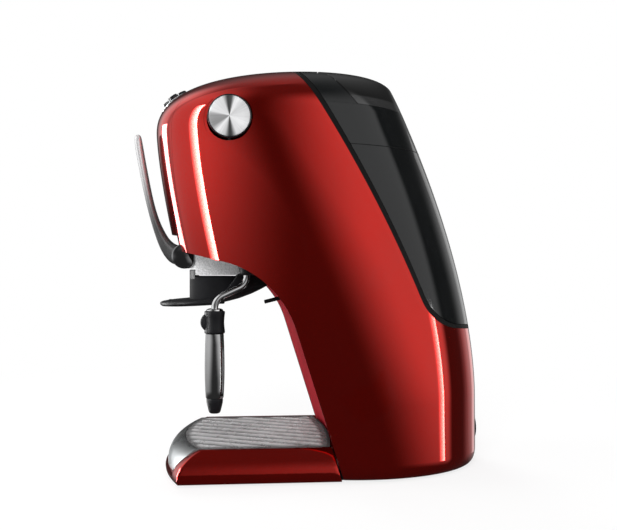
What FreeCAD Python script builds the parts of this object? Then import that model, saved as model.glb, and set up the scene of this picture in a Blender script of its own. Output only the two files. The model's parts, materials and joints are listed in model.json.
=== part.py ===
import FreeCAD, Part
import Sketcher
import math
import os

# Pod coffee machine: lofted two-tone housing, lift-out water tank, lever brew group,
# steam wand and drip tray. Millimetres, +Z up, front is -Y, the knob side is +X.

Vec = FreeCAD.Vector
doc = FreeCAD.newDocument("pod_coffee_machine")
sheet = doc.addObject("Spreadsheet::Sheet", "sizes")
names = []


def size(alias, value):
    """Put one named value in the sheet."""
    names.append(alias)
    row = len(names)
    sheet.set("A%d" % row, alias)
    sheet.set("B%d" % row, value)
    sheet.setAlias("B%d" % row, alias)


# housing form
size("body_half_width", "86")
size("head_front", "132.2")
size("front_lean", "69")
size("base_rear", "147.2")
size("rear_lean", "57.2")
size("lean_start", "60")
size("shoulder_height", "285")
size("top_height", "333")
size("cap_half_width", "34")
size("cap_front", "30")
size("side_round_height", "36.5")
size("rear_round_height", "10.5")
size("rear_round_depth", "22")
size("foot_gap", "1.5")
size("edge_tuck", "6")
size("edge_height", "12")
size("wall", "2.5")
size("seam_gap", "0.15")
size("panel_low_half", "33")
size("panel_low_height", "182")
size("panel_flare", "0.105")
size("rear_panel_half", "45")
# cup bay
size("head_slope", "13")
size("bay_corner_front", "32.3")
size("bay_corner_height", "164.2")
size("column_foot", "19.9")
size("bay_round", "80")
size("column_hollow", "6.5")
size("lining_wall", "2.5")
size("lining_split", "156")
# base and drip tray
size("plate_thick", "3")
size("base_half_width", "85.5")
size("base_top_half", "74.5")
size("base_height", "26.5")
size("base_front", "123.5")
size("base_corner", "109")
size("column_gap", "1.5")
size("tray_slot_half", "70.5")
size("tray_clear", "0.3")
size("tray_rear_side", "10.5")
size("tray_rear_mid", "16.2")
size("tray_rim", "2.2")
size("tray_ledge", "2.5")
size("tray_floor", "3")
size("grille_thick", "1.8")
size("grille_rib_rise", "1.3")
size("grille_rib_radius", "7")
size("grille_pitch", "13.7")
size("grille_angle", "27")
size("grille_slot", "3")
size("foot_radius", "8")
size("foot_sink", "1.5")
# water tank
size("tank_top_rear", "-10.4")
size("tank_top_height", "325")
size("tank_mid_rear", "40")
size("tank_mid_height", "244")
size("tank_low_rear", "86.3")
size("tank_low_height", "151.4")
size("tank_corner_rear", "98.2")
size("tank_corner_height", "125")
size("tank_corner_round", "42")
size("tank_floor_fall", "0.12")
size("tank_wall", "2.2")
size("tank_clear", "0.4")
size("liner_band", "3.3")
size("lid_seam_height", "301")
size("lid_axis_rear", "9.3")
size("lid_axis_height", "327.5")
size("lid_seam_run", "23.8")
size("lid_barrel", "7.45")
size("lid_barrel_half", "61.2")
size("lid_pin_radius", "1.3")
size("lid_lug_radius", "3")
size("lid_lug_from", "14")
size("lid_lug_wide", "6")
size("lid_lug_gap", "0.5")
size("valve_rear", "127")
size("spigot_radius", "6")
size("spigot_length", "22")
size("socket_radius", "12")
size("socket_depth", "20")
size("running_clear", "0.05")
# brew group
size("block_half", "28")
size("block_front", "97.7")
size("block_rear", "56")
size("block_low", "163.5")
size("block_top", "205")
size("brew_axis", "78")
size("piston_radius", "16")
size("piston_low", "172")
size("piston_height", "20")
size("piston_rod_radius", "5")
size("piston_rod_rise", "9")
size("hub_front", "107")
size("hub_height", "179.5")
size("hub_radius", "10.3")
size("hub_half", "15.6")
size("ear_wide", "8")
size("shaft_radius", "4")
size("lever_thick", "7")
size("lever_reach", "44")
size("lever_rise", "104")
size("lever_tip_half", "11")
size("lever_notch_height", "198")
size("lip_radius", "46.5")
size("lip_axis", "83")
size("lip_low", "138")
size("lip_thick", "8")
size("cup_radius", "26")
size("cup_bore", "19.5")
size("cup_top", "162.5")
size("cup_floor", "2")
size("tongue_half", "12")
size("tongue_thick", "6")
size("tongue_rear", "40")
size("slide_clear", "0.35")
size("outlet_radius", "3")
size("peg_radius", "1.7")
size("peg_height", "143.5")
size("peg_length", "16")
size("peg_fall", "14")
# steam side
size("knob_axis_front", "69")
size("knob_axis_height", "288")
size("knob_radius", "17.2")
size("knob_seat", "71.6")
size("knob_deep", "13")
size("knob_face_radius", "16")
size("knob_face_thick", "1.5")
size("dish_radius", "19.2")
size("dish_floor", "70")
size("dish_wall", "3")
size("spindle_radius", "4")
size("spindle_inner", "36")
size("valve_radius", "11")
size("valve_inner", "30")
size("swivel_side", "52")
size("swivel_front", "55")
size("swivel_radius", "7.5")
size("swivel_low", "163.6")
size("swivel_length", "15")
size("wand_side", "58")
size("wand_front", "81")
size("wand_bend_height", "148")
size("wand_bend_round", "11")
size("pipe_radius", "2.75")
size("pipe_low", "72")
size("grip_radius", "9")
size("grip_low", "117")
size("grip_length", "18")
size("sleeve_radius", "7.85")
size("sleeve_bore", "5.8")
size("sleeve_length", "51.8")
size("sleeve_neck", "12")
size("tip_length", "12.2")
size("tip_top_radius", "6")
size("tip_end_radius", "4")
# controls
size("control_height", "314")
size("control_tilt", "36")
size("control_radius", "15")
size("control_proud", "0.8")
size("control_deep", "2.4")
size("button_radius", "4.6")
size("button_step", "8.6")
size("button_proud", "2.4")
size("button_deep", "6")
size("button_clear", "0.25")
size("board_thick", "1.6")
size("board_drop", "8")
# inside
size("frame_thick", "2")
size("frame_rear", "34")
size("frame_half", "42")
size("frame_foot", "24")
size("arm_half", "30")
size("boiler_half", "30")
size("boiler_front", "85")
size("boiler_rear", "-25")
size("boiler_height", "38")
size("pump_radius", "22")
size("pump_side", "25")
size("pump_height", "44")
size("pump_front", "46")
size("pump_length", "76")
size("mount_thick", "10")
size("meter_radius", "12")
size("meter_length", "16")
size("meter_side", "20")
size("meter_height", "140")
size("hose_radius", "3")
size("tube_radius", "2")
size("gland_radius", "8")
size("gland_flange", "11")
size("gland_height", "28")
size("gland_length", "11")
size("cord_hole_radius", "3.5")
size("screw_radius", "2")
size("screw_head", "4")
size("screw_side", "52")
size("screw_front", "62")
size("screw_rear", "88")
doc.recompute()
S = {alias: float(sheet.get(alias)) for alias in names}


# plain solids from numbers

def box(x_low, x_high, y_low, y_high, z_low, z_high):
    return Part.makeBox(x_high - x_low, y_high - y_low, z_high - z_low, Vec(x_low, y_low, z_low))


def rod(radius, start, end):
    return Part.makeCylinder(radius, (end - start).Length, start, end - start)


def side_prism(outline, x_low, x_high):
    """Side-view outline of (y, z) pairs, run across the machine."""
    points = [Vec(x_low, y, z) for y, z in outline]
    return Part.Face(Part.makePolygon(points + points[:1])).extrude(Vec(x_high - x_low, 0, 0))


def biggest(shape):
    return max(shape.Solids, key=lambda solid: solid.Volume)


def round_path(points, radius):
    """Straight runs joined by tangent arcs."""
    edges = []
    start = points[0]
    for here, after in zip(points[1:-1], points[2:]):
        back = (start - here).normalize()
        ahead = (after - here).normalize()
        half_angle = back.getAngle(ahead) / 2
        reach = radius / math.tan(half_angle)
        first = here + back * reach
        last = here + ahead * reach
        middle_way = (back + ahead).normalize()
        middle = here + middle_way * (radius / math.sin(half_angle) - radius)
        edges.append(Part.LineSegment(start, first).toShape())
        edges.append(Part.Arc(first, middle, last).toShape())
        start = last
    edges.append(Part.LineSegment(start, points[-1]).toShape())
    return Part.Wire(edges)


def tube(points, radius, bend):
    path = round_path(points, bend)
    ring = Part.Wire(Part.makeCircle(radius, points[0], points[1] - points[0]))
    return path.makePipeShell([ring], True, True)


# sheet-bound sub-parts

FACING = {
    "top": FreeCAD.Rotation(),
    "side": FreeCAD.Rotation(Vec(1, 1, 1), 120),
    "front": FreeCAD.Rotation(Vec(1, 0, 0), 90),
}
AXIS = {
    "z": FreeCAD.Rotation(),
    "x": FreeCAD.Rotation(Vec(0, 1, 0), 90),
    "y": FreeCAD.Rotation(Vec(1, 0, 0), -90),
}
OFFSET = {"top": "z", "side": "x", "front": "y"}


def amount(text):
    return float(sheet.evalExpression(text))


def linked(text):
    """Expression text with every named value led by the sheet's name."""
    words = []
    word = ""
    for letter in text + " ":
        if letter.isalnum() or letter in "_.":
            word += letter
        else:
            words.append("sizes." + word if word in S else word)
            words.append(letter)
            word = ""
    return "".join(words).strip()


def pin_point(sketch, geometry, spot, x_text, y_text):
    for kind, text in (("DistanceX", x_text), ("DistanceY", y_text)):
        held = sketch.addConstraint(Sketcher.Constraint(kind, -1, 1, geometry, spot, amount(text)))
        sketch.setExpression("Constraints[%d]" % held, linked(text))


def sketch_on(body, facing, offset):
    sketch = body.newObject("Sketcher::SketchObject", body.Name + "_sketch")
    sketch.Placement = FreeCAD.Placement(Vec(0, 0, 0), FACING[facing])
    sketch.setExpression("Placement.Base." + OFFSET[facing], linked(offset))
    return sketch


def draw_outline(sketch, points):
    spots = [Vec(amount(x), amount(y), 0) for x, y in points]
    first = sketch.GeometryCount
    count = len(spots)
    for turn in range(count):
        sketch.addGeometry(Part.LineSegment(spots[turn], spots[(turn + 1) % count]))
    for turn in range(count):
        after = first + (turn + 1) % count
        sketch.addConstraint(Sketcher.Constraint("Coincident", first + turn, 2, after, 1))
    for turn in range(count):
        pin_point(sketch, first + turn, 1, points[turn][0], points[turn][1])


def draw_circle(sketch, x_text, y_text, radius_text):
    centre = Vec(amount(x_text), amount(y_text), 0)
    ring = sketch.addGeometry(Part.Circle(centre, Vec(0, 0, 1), amount(radius_text)))
    pin_point(sketch, ring, 3, x_text, y_text)
    held = sketch.addConstraint(Sketcher.Constraint("Radius", ring, amount(radius_text)))
    sketch.setExpression("Constraints[%d]" % held, linked(radius_text))


def draw(sketch, shape):
    if len(shape) == 3 and isinstance(shape[0], str):
        draw_circle(sketch, shape[0], shape[1], shape[2])
    else:
        draw_outline(sketch, shape)


def new_body(name):
    body = doc.addObject("PartDesign::Body", name)
    body.Label = name
    return body


def pad(body, facing, offset, shape, length):
    sketch = sketch_on(body, facing, offset)
    draw(sketch, shape)
    feature = body.newObject("PartDesign::Pad", body.Name + "_pad")
    feature.Profile = sketch
    feature.setExpression("Length", linked(length))


def pocket(body, facing, offset, shape, length):
    sketch = sketch_on(body, facing, offset)
    draw(sketch, shape)
    feature = body.newObject("PartDesign::Pocket", body.Name + "_pocket")
    feature.Profile = sketch
    feature.setExpression("Length", linked(length))


def place(body, axis, x_text, y_text, z_text):
    body.Placement = FreeCAD.Placement(Vec(0, 0, 0), AXIS[axis])
    for letter, text in (("x", x_text), ("y", y_text), ("z", z_text)):
        body.setExpression("Placement.Base." + letter, linked(text))


def turned(name, profile, axis, x_text, y_text, z_text):
    """Round part: (radius, height) profile about its own axis, set in place."""
    body = new_body(name)
    sketch = sketch_on(body, "front", "0")
    draw_outline(sketch, profile)
    feature = body.newObject("PartDesign::Revolution", name + "_turn")
    feature.Profile = sketch
    feature.ReferenceAxis = (sketch, ["V_Axis"])
    feature.Angle = 360
    place(body, axis, x_text, y_text, z_text)
    return body


def rectangle(x_low, x_high, y_low, y_high):
    return [(x_low, y_low), (x_high, y_low), (x_high, y_high), (x_low, y_high)]


def solid_feature(name, shape):
    feature = doc.addObject("Part::Feature", name)
    feature.Label = name
    feature.Shape = shape
    return feature


# housing form: horizontal ellipses, wider at the foot, leaning forward into the head

def front_line(height):
    if height <= S["shoulder_height"]:
        share = (S["shoulder_height"] - height) / S["shoulder_height"]
        return -S["head_front"] + S["front_lean"] * share ** 1.4
    share = (height - S["shoulder_height"]) / (S["top_height"] - S["shoulder_height"])
    rise = max(0.0, 1.0 - share ** 2.3) ** (1 / 2.3)
    return -S["cap_front"] - (S["head_front"] - S["cap_front"]) * rise


def rear_line(height):
    share = max(0.0, height - S["lean_start"]) / (S["shoulder_height"] - S["lean_start"])
    line = S["base_rear"] - S["rear_lean"] * share ** 1.7
    start = S["top_height"] - S["rear_round_height"]
    if height > start:
        part = (height - start) / S["rear_round_height"]
        line -= S["rear_round_depth"] * (1 - math.sqrt(max(0.0, 1 - part * part)))
    return line


def half_line(height):
    start = S["top_height"] - S["side_round_height"]
    if height <= start:
        return S["body_half_width"]
    part = (height - start) / S["side_round_height"]
    spread = S["body_half_width"] - S["cap_half_width"]
    return S["cap_half_width"] + spread * math.sqrt(max(0.0, 1 - part * part))


def ring_at(height, level, inset):
    """Closed elliptical section of the form at a height, drawn at a level."""
    front = front_line(height) + inset
    rear = rear_line(height) - inset
    half = half_line(height) - inset
    middle = (front + rear) / 2
    reach = (rear - front) / 2
    points = []
    for step in range(16):
        turn = 2 * math.pi * step / 16
        points.append(Vec(half * math.sin(turn), middle + reach * math.cos(turn), level))
    curve = Part.BSplineCurve()
    curve.interpolate(points, PeriodicFlag=True)
    return Part.Wire(curve.toShape())


def form(inset, open_foot=False):
    """Solid of the housing form, moved in by an inset."""
    rings = []
    if open_foot:
        rings.append(ring_at(S["foot_gap"], S["foot_gap"] - 8, inset + S["edge_tuck"]))
    for degrees in (0, 30, 60, 90):
        turn = math.radians(degrees)
        level = S["foot_gap"] + S["edge_height"] * (1 - math.cos(turn))
        rings.append(ring_at(level, level, inset + S["edge_tuck"] * (1 - math.sin(turn))))
    start = S["foot_gap"] + S["edge_height"]
    for step in range(1, 8):
        level = start + (S["shoulder_height"] - start) * step / 7
        rings.append(ring_at(level, level, inset))
    dome = S["top_height"] - S["shoulder_height"]
    for degrees in (14, 28, 42, 55, 66, 76, 84, 90):
        share = math.sin(math.radians(degrees))
        height = S["shoulder_height"] + dome * share
        rings.append(ring_at(height, height - inset * share, inset))
    return Part.makeLoft(rings, True, False)


def bay_side(x, back, grow):
    """Side outline of the cup bay at one width, grown into the housing."""
    slope = math.radians(S["head_slope"])
    corner_y = -S["bay_corner_front"] + back
    run = S["column_foot"] + S["bay_corner_front"]
    length = math.hypot(run, S["bay_corner_height"])
    ahead = Vec(0, -math.cos(slope), math.sin(slope))
    down = Vec(0, run / length, -S["bay_corner_height"] / length)
    up_normal = Vec(0, math.sin(slope), math.cos(slope))
    back_normal = Vec(0, S["bay_corner_height"] / length, run / length)
    cross = up_normal.y * back_normal.z - up_normal.z * back_normal.y
    shift_y = grow * (back_normal.z - up_normal.z) / cross
    shift_z = grow * (up_normal.y - back_normal.y) / cross
    corner = Vec(x, corner_y + shift_y, S["bay_corner_height"] + shift_z)
    radius = S["bay_round"] + grow
    half_angle = ahead.getAngle(down) / 2
    reach = radius / math.tan(half_angle)
    middle_way = (ahead + down).normalize()
    first = corner + ahead * reach
    last = corner + down * reach
    middle = corner + middle_way * (radius / math.sin(half_angle) - radius)
    far_front = -260.0
    top = corner + ahead * ((corner.y - far_front) / math.cos(slope))
    foot = corner + down * ((corner.z + 6) / -down.z)
    low = Vec(x, far_front, foot.z)
    return Part.Wire([
        Part.LineSegment(top, first).toShape(),
        Part.Arc(first, middle, last).toShape(),
        Part.LineSegment(last, foot).toShape(),
        Part.LineSegment(foot, low).toShape(),
        Part.LineSegment(low, top).toShape(),
    ])


def bay(grow):
    """Cup bay, hollowed toward the middle of the column."""
    side = S["body_half_width"] + 9
    rings = [bay_side(-side, 0, grow), bay_side(0, S["column_hollow"], grow), bay_side(side, 0, grow)]
    return Part.makeLoft(rings, True, False)


def tank_room(grow):
    """Everything behind the tank's front and floor line, moved forward and down."""
    side = -S["body_half_width"] - 20
    top = Vec(side, S["tank_top_rear"], S["tank_top_height"])
    middle = Vec(side, S["tank_mid_rear"], S["tank_mid_height"])
    low = Vec(side, S["tank_low_rear"], S["tank_low_height"])
    arc = Part.Arc(top, middle, low)
    start_way = arc.tangent(arc.FirstParameter)[0]
    corner = Vec(side, S["tank_corner_rear"], S["tank_corner_height"])
    down = (corner - low).normalize()
    along = Vec(0, 1, -S["tank_floor_fall"]).normalize()
    half_turn = down.getAngle(along) / 2
    radius = S["tank_corner_round"]
    reach = radius * math.tan(half_turn)
    inward = (along - down).normalize()
    first = corner - down * reach
    last = corner + along * reach
    bend = corner + inward * (radius / math.cos(half_turn) - radius)
    crown = top - start_way * ((S["top_height"] + 20 - top.z) / -start_way.z)
    far_rear = S["base_rear"] + 60
    floor_end = corner + along * ((far_rear - corner.y) / along.y)
    back = Vec(side, far_rear, crown.z)
    outline = Part.Wire([
        Part.LineSegment(crown, top).toShape(),
        arc.toShape(),
        Part.LineSegment(low, first).toShape(),
        Part.Arc(first, bend, last).toShape(),
        Part.LineSegment(last, floor_end).toShape(),
        Part.LineSegment(floor_end, back).toShape(),
        Part.LineSegment(back, crown).toShape(),
    ])
    room = Part.Face(outline).extrude(Vec(-2 * side, 0, 0))
    room.translate(Vec(0, -0.72 * grow, -0.85 * grow))
    return room


def panel_room(grow):
    """Upright strip over the front and crown, wider toward the top."""
    rows = []
    for height in (120.0, S["top_height"] + 20):
        half = S["panel_low_half"] + S["panel_flare"] * (height - S["panel_low_height"]) + grow
        rows.append((height, half))
    low, high = rows
    points = [
        Vec(-low[1], -260, low[0]),
        Vec(low[1], -260, low[0]),
        Vec(high[1], -260, high[0]),
        Vec(-high[1], -260, high[0]),
    ]
    return Part.Face(Part.makePolygon(points + points[:1])).extrude(Vec(0, 300, 0))


def rear_room(grow):
    half = S["rear_panel_half"] + grow
    return box(-half, half, 50, S["base_rear"] + 60, -5, S["tank_corner_height"])


outer = form(0)
inner = form(S["wall"], True)
room = form(S["wall"] + S["seam_gap"], True)
skin = outer.cut(inner)
bay_cut = bay(0)
liner_cut = tank_room(S["liner_band"] + S["seam_gap"])
plate_top = S["foot_gap"] + S["plate_thick"]

# side shells with the knob dish on the right one
sides = skin.cut([bay_cut, liner_cut, panel_room(S["seam_gap"]), rear_room(S["seam_gap"])])
halves = sorted(sides.Solids, key=lambda solid: solid.Volume)[-2:]
halves.sort(key=lambda solid: solid.CenterOfMass.x)
knob_spot = Vec(0, -S["knob_axis_front"], S["knob_axis_height"])
side_way = Vec(1, 0, 0)
dish_back = S["dish_floor"] - S["dish_wall"]
dish_far = S["body_half_width"] + 10
dish = rod(S["dish_radius"] + S["dish_wall"], knob_spot + side_way * dish_back, knob_spot + side_way * dish_far)
dish = dish.common(outer)
well = rod(S["dish_radius"], knob_spot + side_way * S["dish_floor"], knob_spot + side_way * dish_far)
stem_hole = rod(S["spindle_radius"] + 0.5, knob_spot, knob_spot + side_way * dish_far)
right_shell = halves[1].fuse(dish).cut([well, stem_hole])
solid_feature("right_side_shell", biggest(right_shell))
solid_feature("left_side_shell", halves[0])

# control cluster set square to the crown of the front panel
control_spot = Vec(0, front_line(S["control_height"]), S["control_height"])
tilt = math.radians(S["control_tilt"])
control_way = Vec(0, -math.sin(tilt), math.cos(tilt))
control_rise = Vec(0, math.cos(tilt), math.sin(tilt))


def control_rod(radius, offset, low, high):
    return rod(radius, control_spot + offset + control_way * low, control_spot + offset + control_way * high)


# front panel with the lever notch and the control opening
notch = box(-S["hub_half"] - S["ear_wide"] - 2, S["hub_half"] + S["ear_wide"] + 2,
            -220, -S["block_front"], 100, S["lever_notch_height"])
control_hole = control_rod(S["control_radius"] + S["seam_gap"], Vec(), -25, 25)
front_panel = skin.common(panel_room(0)).cut([bay_cut, liner_cut, notch, control_hole])
solid_feature("front_panel", biggest(front_panel))

gland_spot = Vec(0, 0, S["gland_height"])
gland_hole = rod(S["gland_radius"] + S["seam_gap"], gland_spot, gland_spot + Vec(0, S["base_rear"] + 20, 0))
rear_panel = skin.common(rear_room(0)).cut([liner_cut, gland_hole])
solid_feature("rear_panel", biggest(rear_panel))

# lining of the cup bay: column front below, head underside above
lining = bay(S["lining_wall"]).cut(bay_cut).common(room)
below = box(-200, 200, -300, 300, plate_top + S["seam_gap"], S["lining_split"])
above = box(-200, 200, -300, 300, S["lining_split"] + S["seam_gap"], 400)
peg_turn = math.radians(S["peg_fall"])
peg_way = Vec(0, -math.cos(peg_turn), -math.sin(peg_turn))


def bay_front(height):
    """Column front on the middle line at a height below the bay corner."""
    probe = Part.makeLine(Vec(0, -200, height), Vec(0, 100, height))
    return probe.common(bay_cut).BoundBox.YMax


peg_root = Vec(0, bay_front(S["peg_height"]), S["peg_height"])
peg_hole = rod(S["peg_radius"] + S["seam_gap"], peg_root - peg_way * 20, peg_root + peg_way * 20)
solid_feature("column_panel", biggest(lining.common(below).cut(peg_hole)))
block_hole = box(-S["block_half"] - 0.3, S["block_half"] + 0.3,
                 -220, -S["block_rear"] + 0.3, 100, 300)
swivel_spot = Vec(S["swivel_side"], -S["swivel_front"], 0)
swivel_hole = rod(S["swivel_radius"] + S["seam_gap"], swivel_spot, swivel_spot + Vec(0, 0, 300))
solid_feature("head_bottom_cover", biggest(lining.common(above).cut([block_hole, swivel_hole])))

# tank bay liner: shows as the dark band between housing and tank
spigot_spot = Vec(0, S["valve_rear"], 0)
spigot_hole = rod(S["spigot_radius"] + 1.5, spigot_spot, spigot_spot + Vec(0, 0, 300))
liner = outer.common(tank_room(S["liner_band"])).cut([tank_room(0), spigot_hole])
solid_feature("tank_bay_liner", biggest(liner))

# base plate under the column
foot_spots = {
    "front": (S["base_half_width"] - 25, -S["base_corner"] + 15),
    "rear": (S["base_half_width"] - 42, S["base_rear"] - 37),
}


def foot_holes(row, radius):
    side, rear = foot_spots[row]
    top = S["foot_gap"] + S["foot_sink"]
    return [rod(radius, Vec(x, rear, -1), Vec(x, rear, top)) for x in (-side, side)]


screw_spots = []
for screw_x in (-S["screw_side"], S["screw_side"]):
    for screw_y in (S["screw_front"], S["screw_rear"]):
        screw_spots.append(Vec(screw_x, screw_y, 0))
screw_holes = []
for spot in screw_spots:
    screw_holes.append(rod(S["screw_radius"] + 0.1, spot, spot + Vec(0, 0, 20)))
    screw_holes.append(rod(S["screw_head"] + 0.1, spot, spot + Vec(0, 0, S["foot_gap"] + 1.4)))
base_plate = room.common(box(-200, 200, -200, 300, S["foot_gap"], plate_top))
base_plate = base_plate.cut([bay_cut] + foot_holes("rear", S["foot_radius"] + 0.1) + screw_holes)
solid_feature("base_plate", biggest(base_plate))


# drip tray base: side walls that lean in, a floor and a front lip

def base_ring(level, half, corner, apex, rear_side, rear_mid):
    """Outline seen from above: straight sides, bowed front and rear."""
    front_left = Vec(-half, corner, level)
    front_right = Vec(half, corner, level)
    rear_right = Vec(half, rear_side, level)
    rear_left = Vec(-half, rear_side, level)
    if rear_mid == rear_side:
        rear_edge = Part.LineSegment(rear_right, rear_left).toShape()
    else:
        rear_edge = Part.Arc(rear_right, Vec(0, rear_mid, level), rear_left).toShape()
    return Part.Wire([
        Part.Arc(front_left, Vec(0, apex, level), front_right).toShape(),
        Part.LineSegment(front_right, rear_right).toShape(),
        rear_edge,
        Part.LineSegment(rear_left, front_left).toShape(),
    ])


def ring_prism(low, high, half, corner, apex, rear_side, rear_mid):
    ring = base_ring(low, half, corner, apex, rear_side, rear_mid)
    return Part.Face(ring).extrude(Vec(0, 0, high - low))


corner_line = -S["base_corner"]
front_apex = -S["base_front"]
base_rows = (
    (S["foot_gap"], -1.3, 0.0),
    (S["foot_gap"] + 7.5, 0.0, 0.0),
    (S["base_height"] - 8, (S["base_top_half"] - S["base_half_width"]) * 0.4, 6.0),
    (S["base_height"], S["base_top_half"] - S["base_half_width"], 18.0),
)
base_rings = []
for level, widen, back in base_rows:
    half = S["base_half_width"] + widen
    base_rings.append(base_ring(level, half, corner_line + back, front_apex + 0.9 * back, 60, 60))
tray_slot = box(-S["tray_slot_half"], S["tray_slot_half"], -300, 300, plate_top, 200)
tray_block = Part.makeLoft(base_rings, True, False)
tray_tongue = box(-S["rear_panel_half"], S["rear_panel_half"], -20, 60, S["foot_gap"], plate_top)
tray_tongue = tray_tongue.common(bay(-S["seam_gap"]))
tray_base = tray_block.common(bay(-S["column_gap"])).cut(tray_slot).fuse(tray_tongue)
solid_feature("tray_base", biggest(tray_base.cut(foot_holes("front", S["foot_radius"] + 0.1))))

# drip tray: bowed bright front, basin and a ledge that carries the grille
tray_half = S["tray_slot_half"] - S["tray_clear"]
tray_low = plate_top + S["tray_clear"]
tray_rows = (
    (tray_low, 1.0, 1.5),
    (S["base_height"] - 13.5, 1.5, 2.5),
    (S["base_height"] - 6.5, 5.0, 6.0),
    (S["base_height"], 13.0, 14.0),
)
tray_rings = []
for level, back, apex_back in tray_rows:
    tray_rings.append(base_ring(level, tray_half, corner_line + back, front_apex + apex_back,
                                S["tray_rear_side"], S["tray_rear_mid"]))
grille_low = S["base_height"] - S["grille_thick"] - 0.4


def tray_inside(low, high, inset):
    """Space inside the tray rim, moved in by an inset."""
    return ring_prism(low, high, tray_half - inset, corner_line + 13 + inset, front_apex + 14 + inset,
                      S["tray_rear_side"] - inset, S["tray_rear_mid"] - inset)


recess = tray_inside(grille_low, S["base_height"] + 5, S["tray_rim"])
basin = tray_inside(tray_low + S["tray_floor"], S["base_height"], S["tray_rim"] + S["tray_ledge"])
drip_tray = Part.makeLoft(tray_rings, True, False).cut([recess, basin])
solid_feature("drip_tray", biggest(drip_tray))

# grille: slanting rounded ribs with drain slots between them
grille_plate = grille_low + 0.1
grille_top = grille_plate + S["grille_thick"]
grille = tray_inside(grille_plate, grille_top, S["tray_rim"] + 0.25)
rib_field = tray_inside(grille_plate, grille_top + 10, S["tray_rim"] + 4)
slot_field = tray_inside(grille_plate - 1, grille_top + 10, S["tray_rim"] + 7)
grille_turn = math.radians(S["grille_angle"])
rib_way = Vec(math.sin(grille_turn), math.cos(grille_turn), 0)
step_way = Vec(math.cos(grille_turn), -math.sin(grille_turn), 0)
rib_middle = Vec(0, (S["tray_rear_mid"] - S["base_front"]) / 2, 0)
rib_count = int((tray_half + 60) / S["grille_pitch"])
rib_level = grille_top + S["grille_rib_rise"] - S["grille_rib_radius"]
ribs = []
slots = []
for step in range(-rib_count, rib_count + 1):
    spot = rib_middle + step_way * (step * S["grille_pitch"])
    rib_start = spot - rib_way * 120 + Vec(0, 0, rib_level)
    rib = rod(S["grille_rib_radius"], rib_start, rib_start + rib_way * 240).common(rib_field)
    ribs += rib.Solids
    slot_spot = spot + step_way * (S["grille_pitch"] / 2)
    slot = Part.makeBox(S["grille_slot"], 240, 30, Vec(-S["grille_slot"] / 2, -120, 0))
    slot.rotate(Vec(0, 0, 0), Vec(0, 0, 1), -S["grille_angle"])
    slot.translate(slot_spot + Vec(0, 0, grille_plate - 5))
    slots += slot.common(slot_field).Solids
solid_feature("drip_grille", biggest(grille.fuse(ribs).cut(slots).removeSplitter()))

# rubber feet
feet = []
for row in ("front", "rear"):
    side, rear = foot_spots[row]
    for x in (-side, side):
        foot = doc.addObject("Part::Cylinder", "foot")
        foot.setExpression("Radius", "sizes.foot_radius")
        foot.setExpression("Height", "sizes.foot_gap + sizes.foot_sink")
        foot.Placement.Base = Vec(x, rear, 0)
        feet.append(foot)
feet_group = doc.addObject("Part::Compound", "rubber_feet")
feet_group.Links = feet

# water tank with its collar and hinged lid
tank_space = tank_room(-S["tank_clear"])
tank_inner_space = tank_room(-S["tank_clear"] - S["tank_wall"])
tank_inner_form = form(S["tank_wall"])
seam = S["lid_seam_height"]
tank_body = outer.common(tank_space).common(box(-200, 200, -200, 300, 0, seam))
tank_hollow = tank_inner_form.common(tank_inner_space)
tank_hole = rod(S["spigot_radius"] + 0.1, spigot_spot, spigot_spot + Vec(0, 0, S["tank_corner_height"] + 8))
solid_feature("water_tank", biggest(tank_body.cut([tank_hollow, tank_hole])))

lid_axis = Vec(0, S["lid_axis_rear"], S["lid_axis_height"])
seam_drop = S["lid_axis_height"] - seam
seam_way = Vec(0, S["lid_seam_run"], -seam_drop).normalize()
seam_normal = Vec(0, seam_drop, S["lid_seam_run"]).normalize()


def behind_seam(gap):
    """Space behind the slanting seam between collar and lid."""
    top = lid_axis - seam_way * 60 + seam_normal * gap
    low = lid_axis + seam_way * 90 + seam_normal * gap
    outline = [(top.y, top.z), (low.y, low.z), (300, low.z), (300, top.z)]
    return side_prism(outline, -200, 200)


def hinge_rod(radius, x_low, x_high):
    return rod(radius, lid_axis + side_way * x_low, lid_axis + side_way * x_high)


lid_skin = outer.cut(tank_inner_form).common(tank_space)
lid_room = box(-200, 200, -200, 300, seam + 2 * S["seam_gap"], 400)
barrel_half = S["lid_barrel_half"]
barrel = hinge_rod(S["lid_barrel"], -barrel_half, barrel_half)
barrel_room = hinge_rod(S["lid_barrel"] + S["tank_clear"], -barrel_half - 0.4, barrel_half + 0.4)
lid = lid_skin.common(lid_room).common(behind_seam(0.15).fuse(barrel))
collar_room = box(-200, 200, -200, 300, seam + S["seam_gap"], 400).cut([behind_seam(-0.15), barrel_room])
collar_wall = outer.common(tank_space.cut(tank_inner_space))
collar_floor = outer.common(tank_space).common(
    box(-200, 200, -200, S["lid_axis_rear"] + S["lid_lug_radius"], 0, seam + 2.4))
collar = collar_wall.fuse([lid_skin, collar_floor]).common(collar_room)
lid_lugs = []
collar_lugs = []
for side in (-1, 1):
    near = S["lid_lug_from"] * side
    far = near + S["lid_lug_wide"] * side
    low_x, high_x = min(near, far), max(near, far)
    radius = S["lid_lug_radius"]
    post = box(low_x, high_x, lid_axis.y - radius, lid_axis.y + radius, lid_axis.z, 400)
    lid_lugs.append(post.fuse(hinge_rod(radius, low_x, high_x)).common(outer))
    shift = side * (S["lid_lug_wide"] + S["lid_lug_gap"])
    low_x, high_x = low_x + shift, high_x + shift
    post = box(low_x, high_x, lid_axis.y - radius, lid_axis.y + radius, seam + 1, lid_axis.z)
    collar_lugs.append(post.fuse(hinge_rod(radius, low_x, high_x)).common(tank_inner_form))
pin_half = S["lid_lug_from"] + 2 * S["lid_lug_wide"] + S["lid_lug_gap"]
pin_hole = hinge_rod(S["lid_pin_radius"] + S["running_clear"], -pin_half - 1, pin_half + 1)
solid_feature("tank_lid", biggest(lid.fuse(lid_lugs).cut(pin_hole)))
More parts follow.
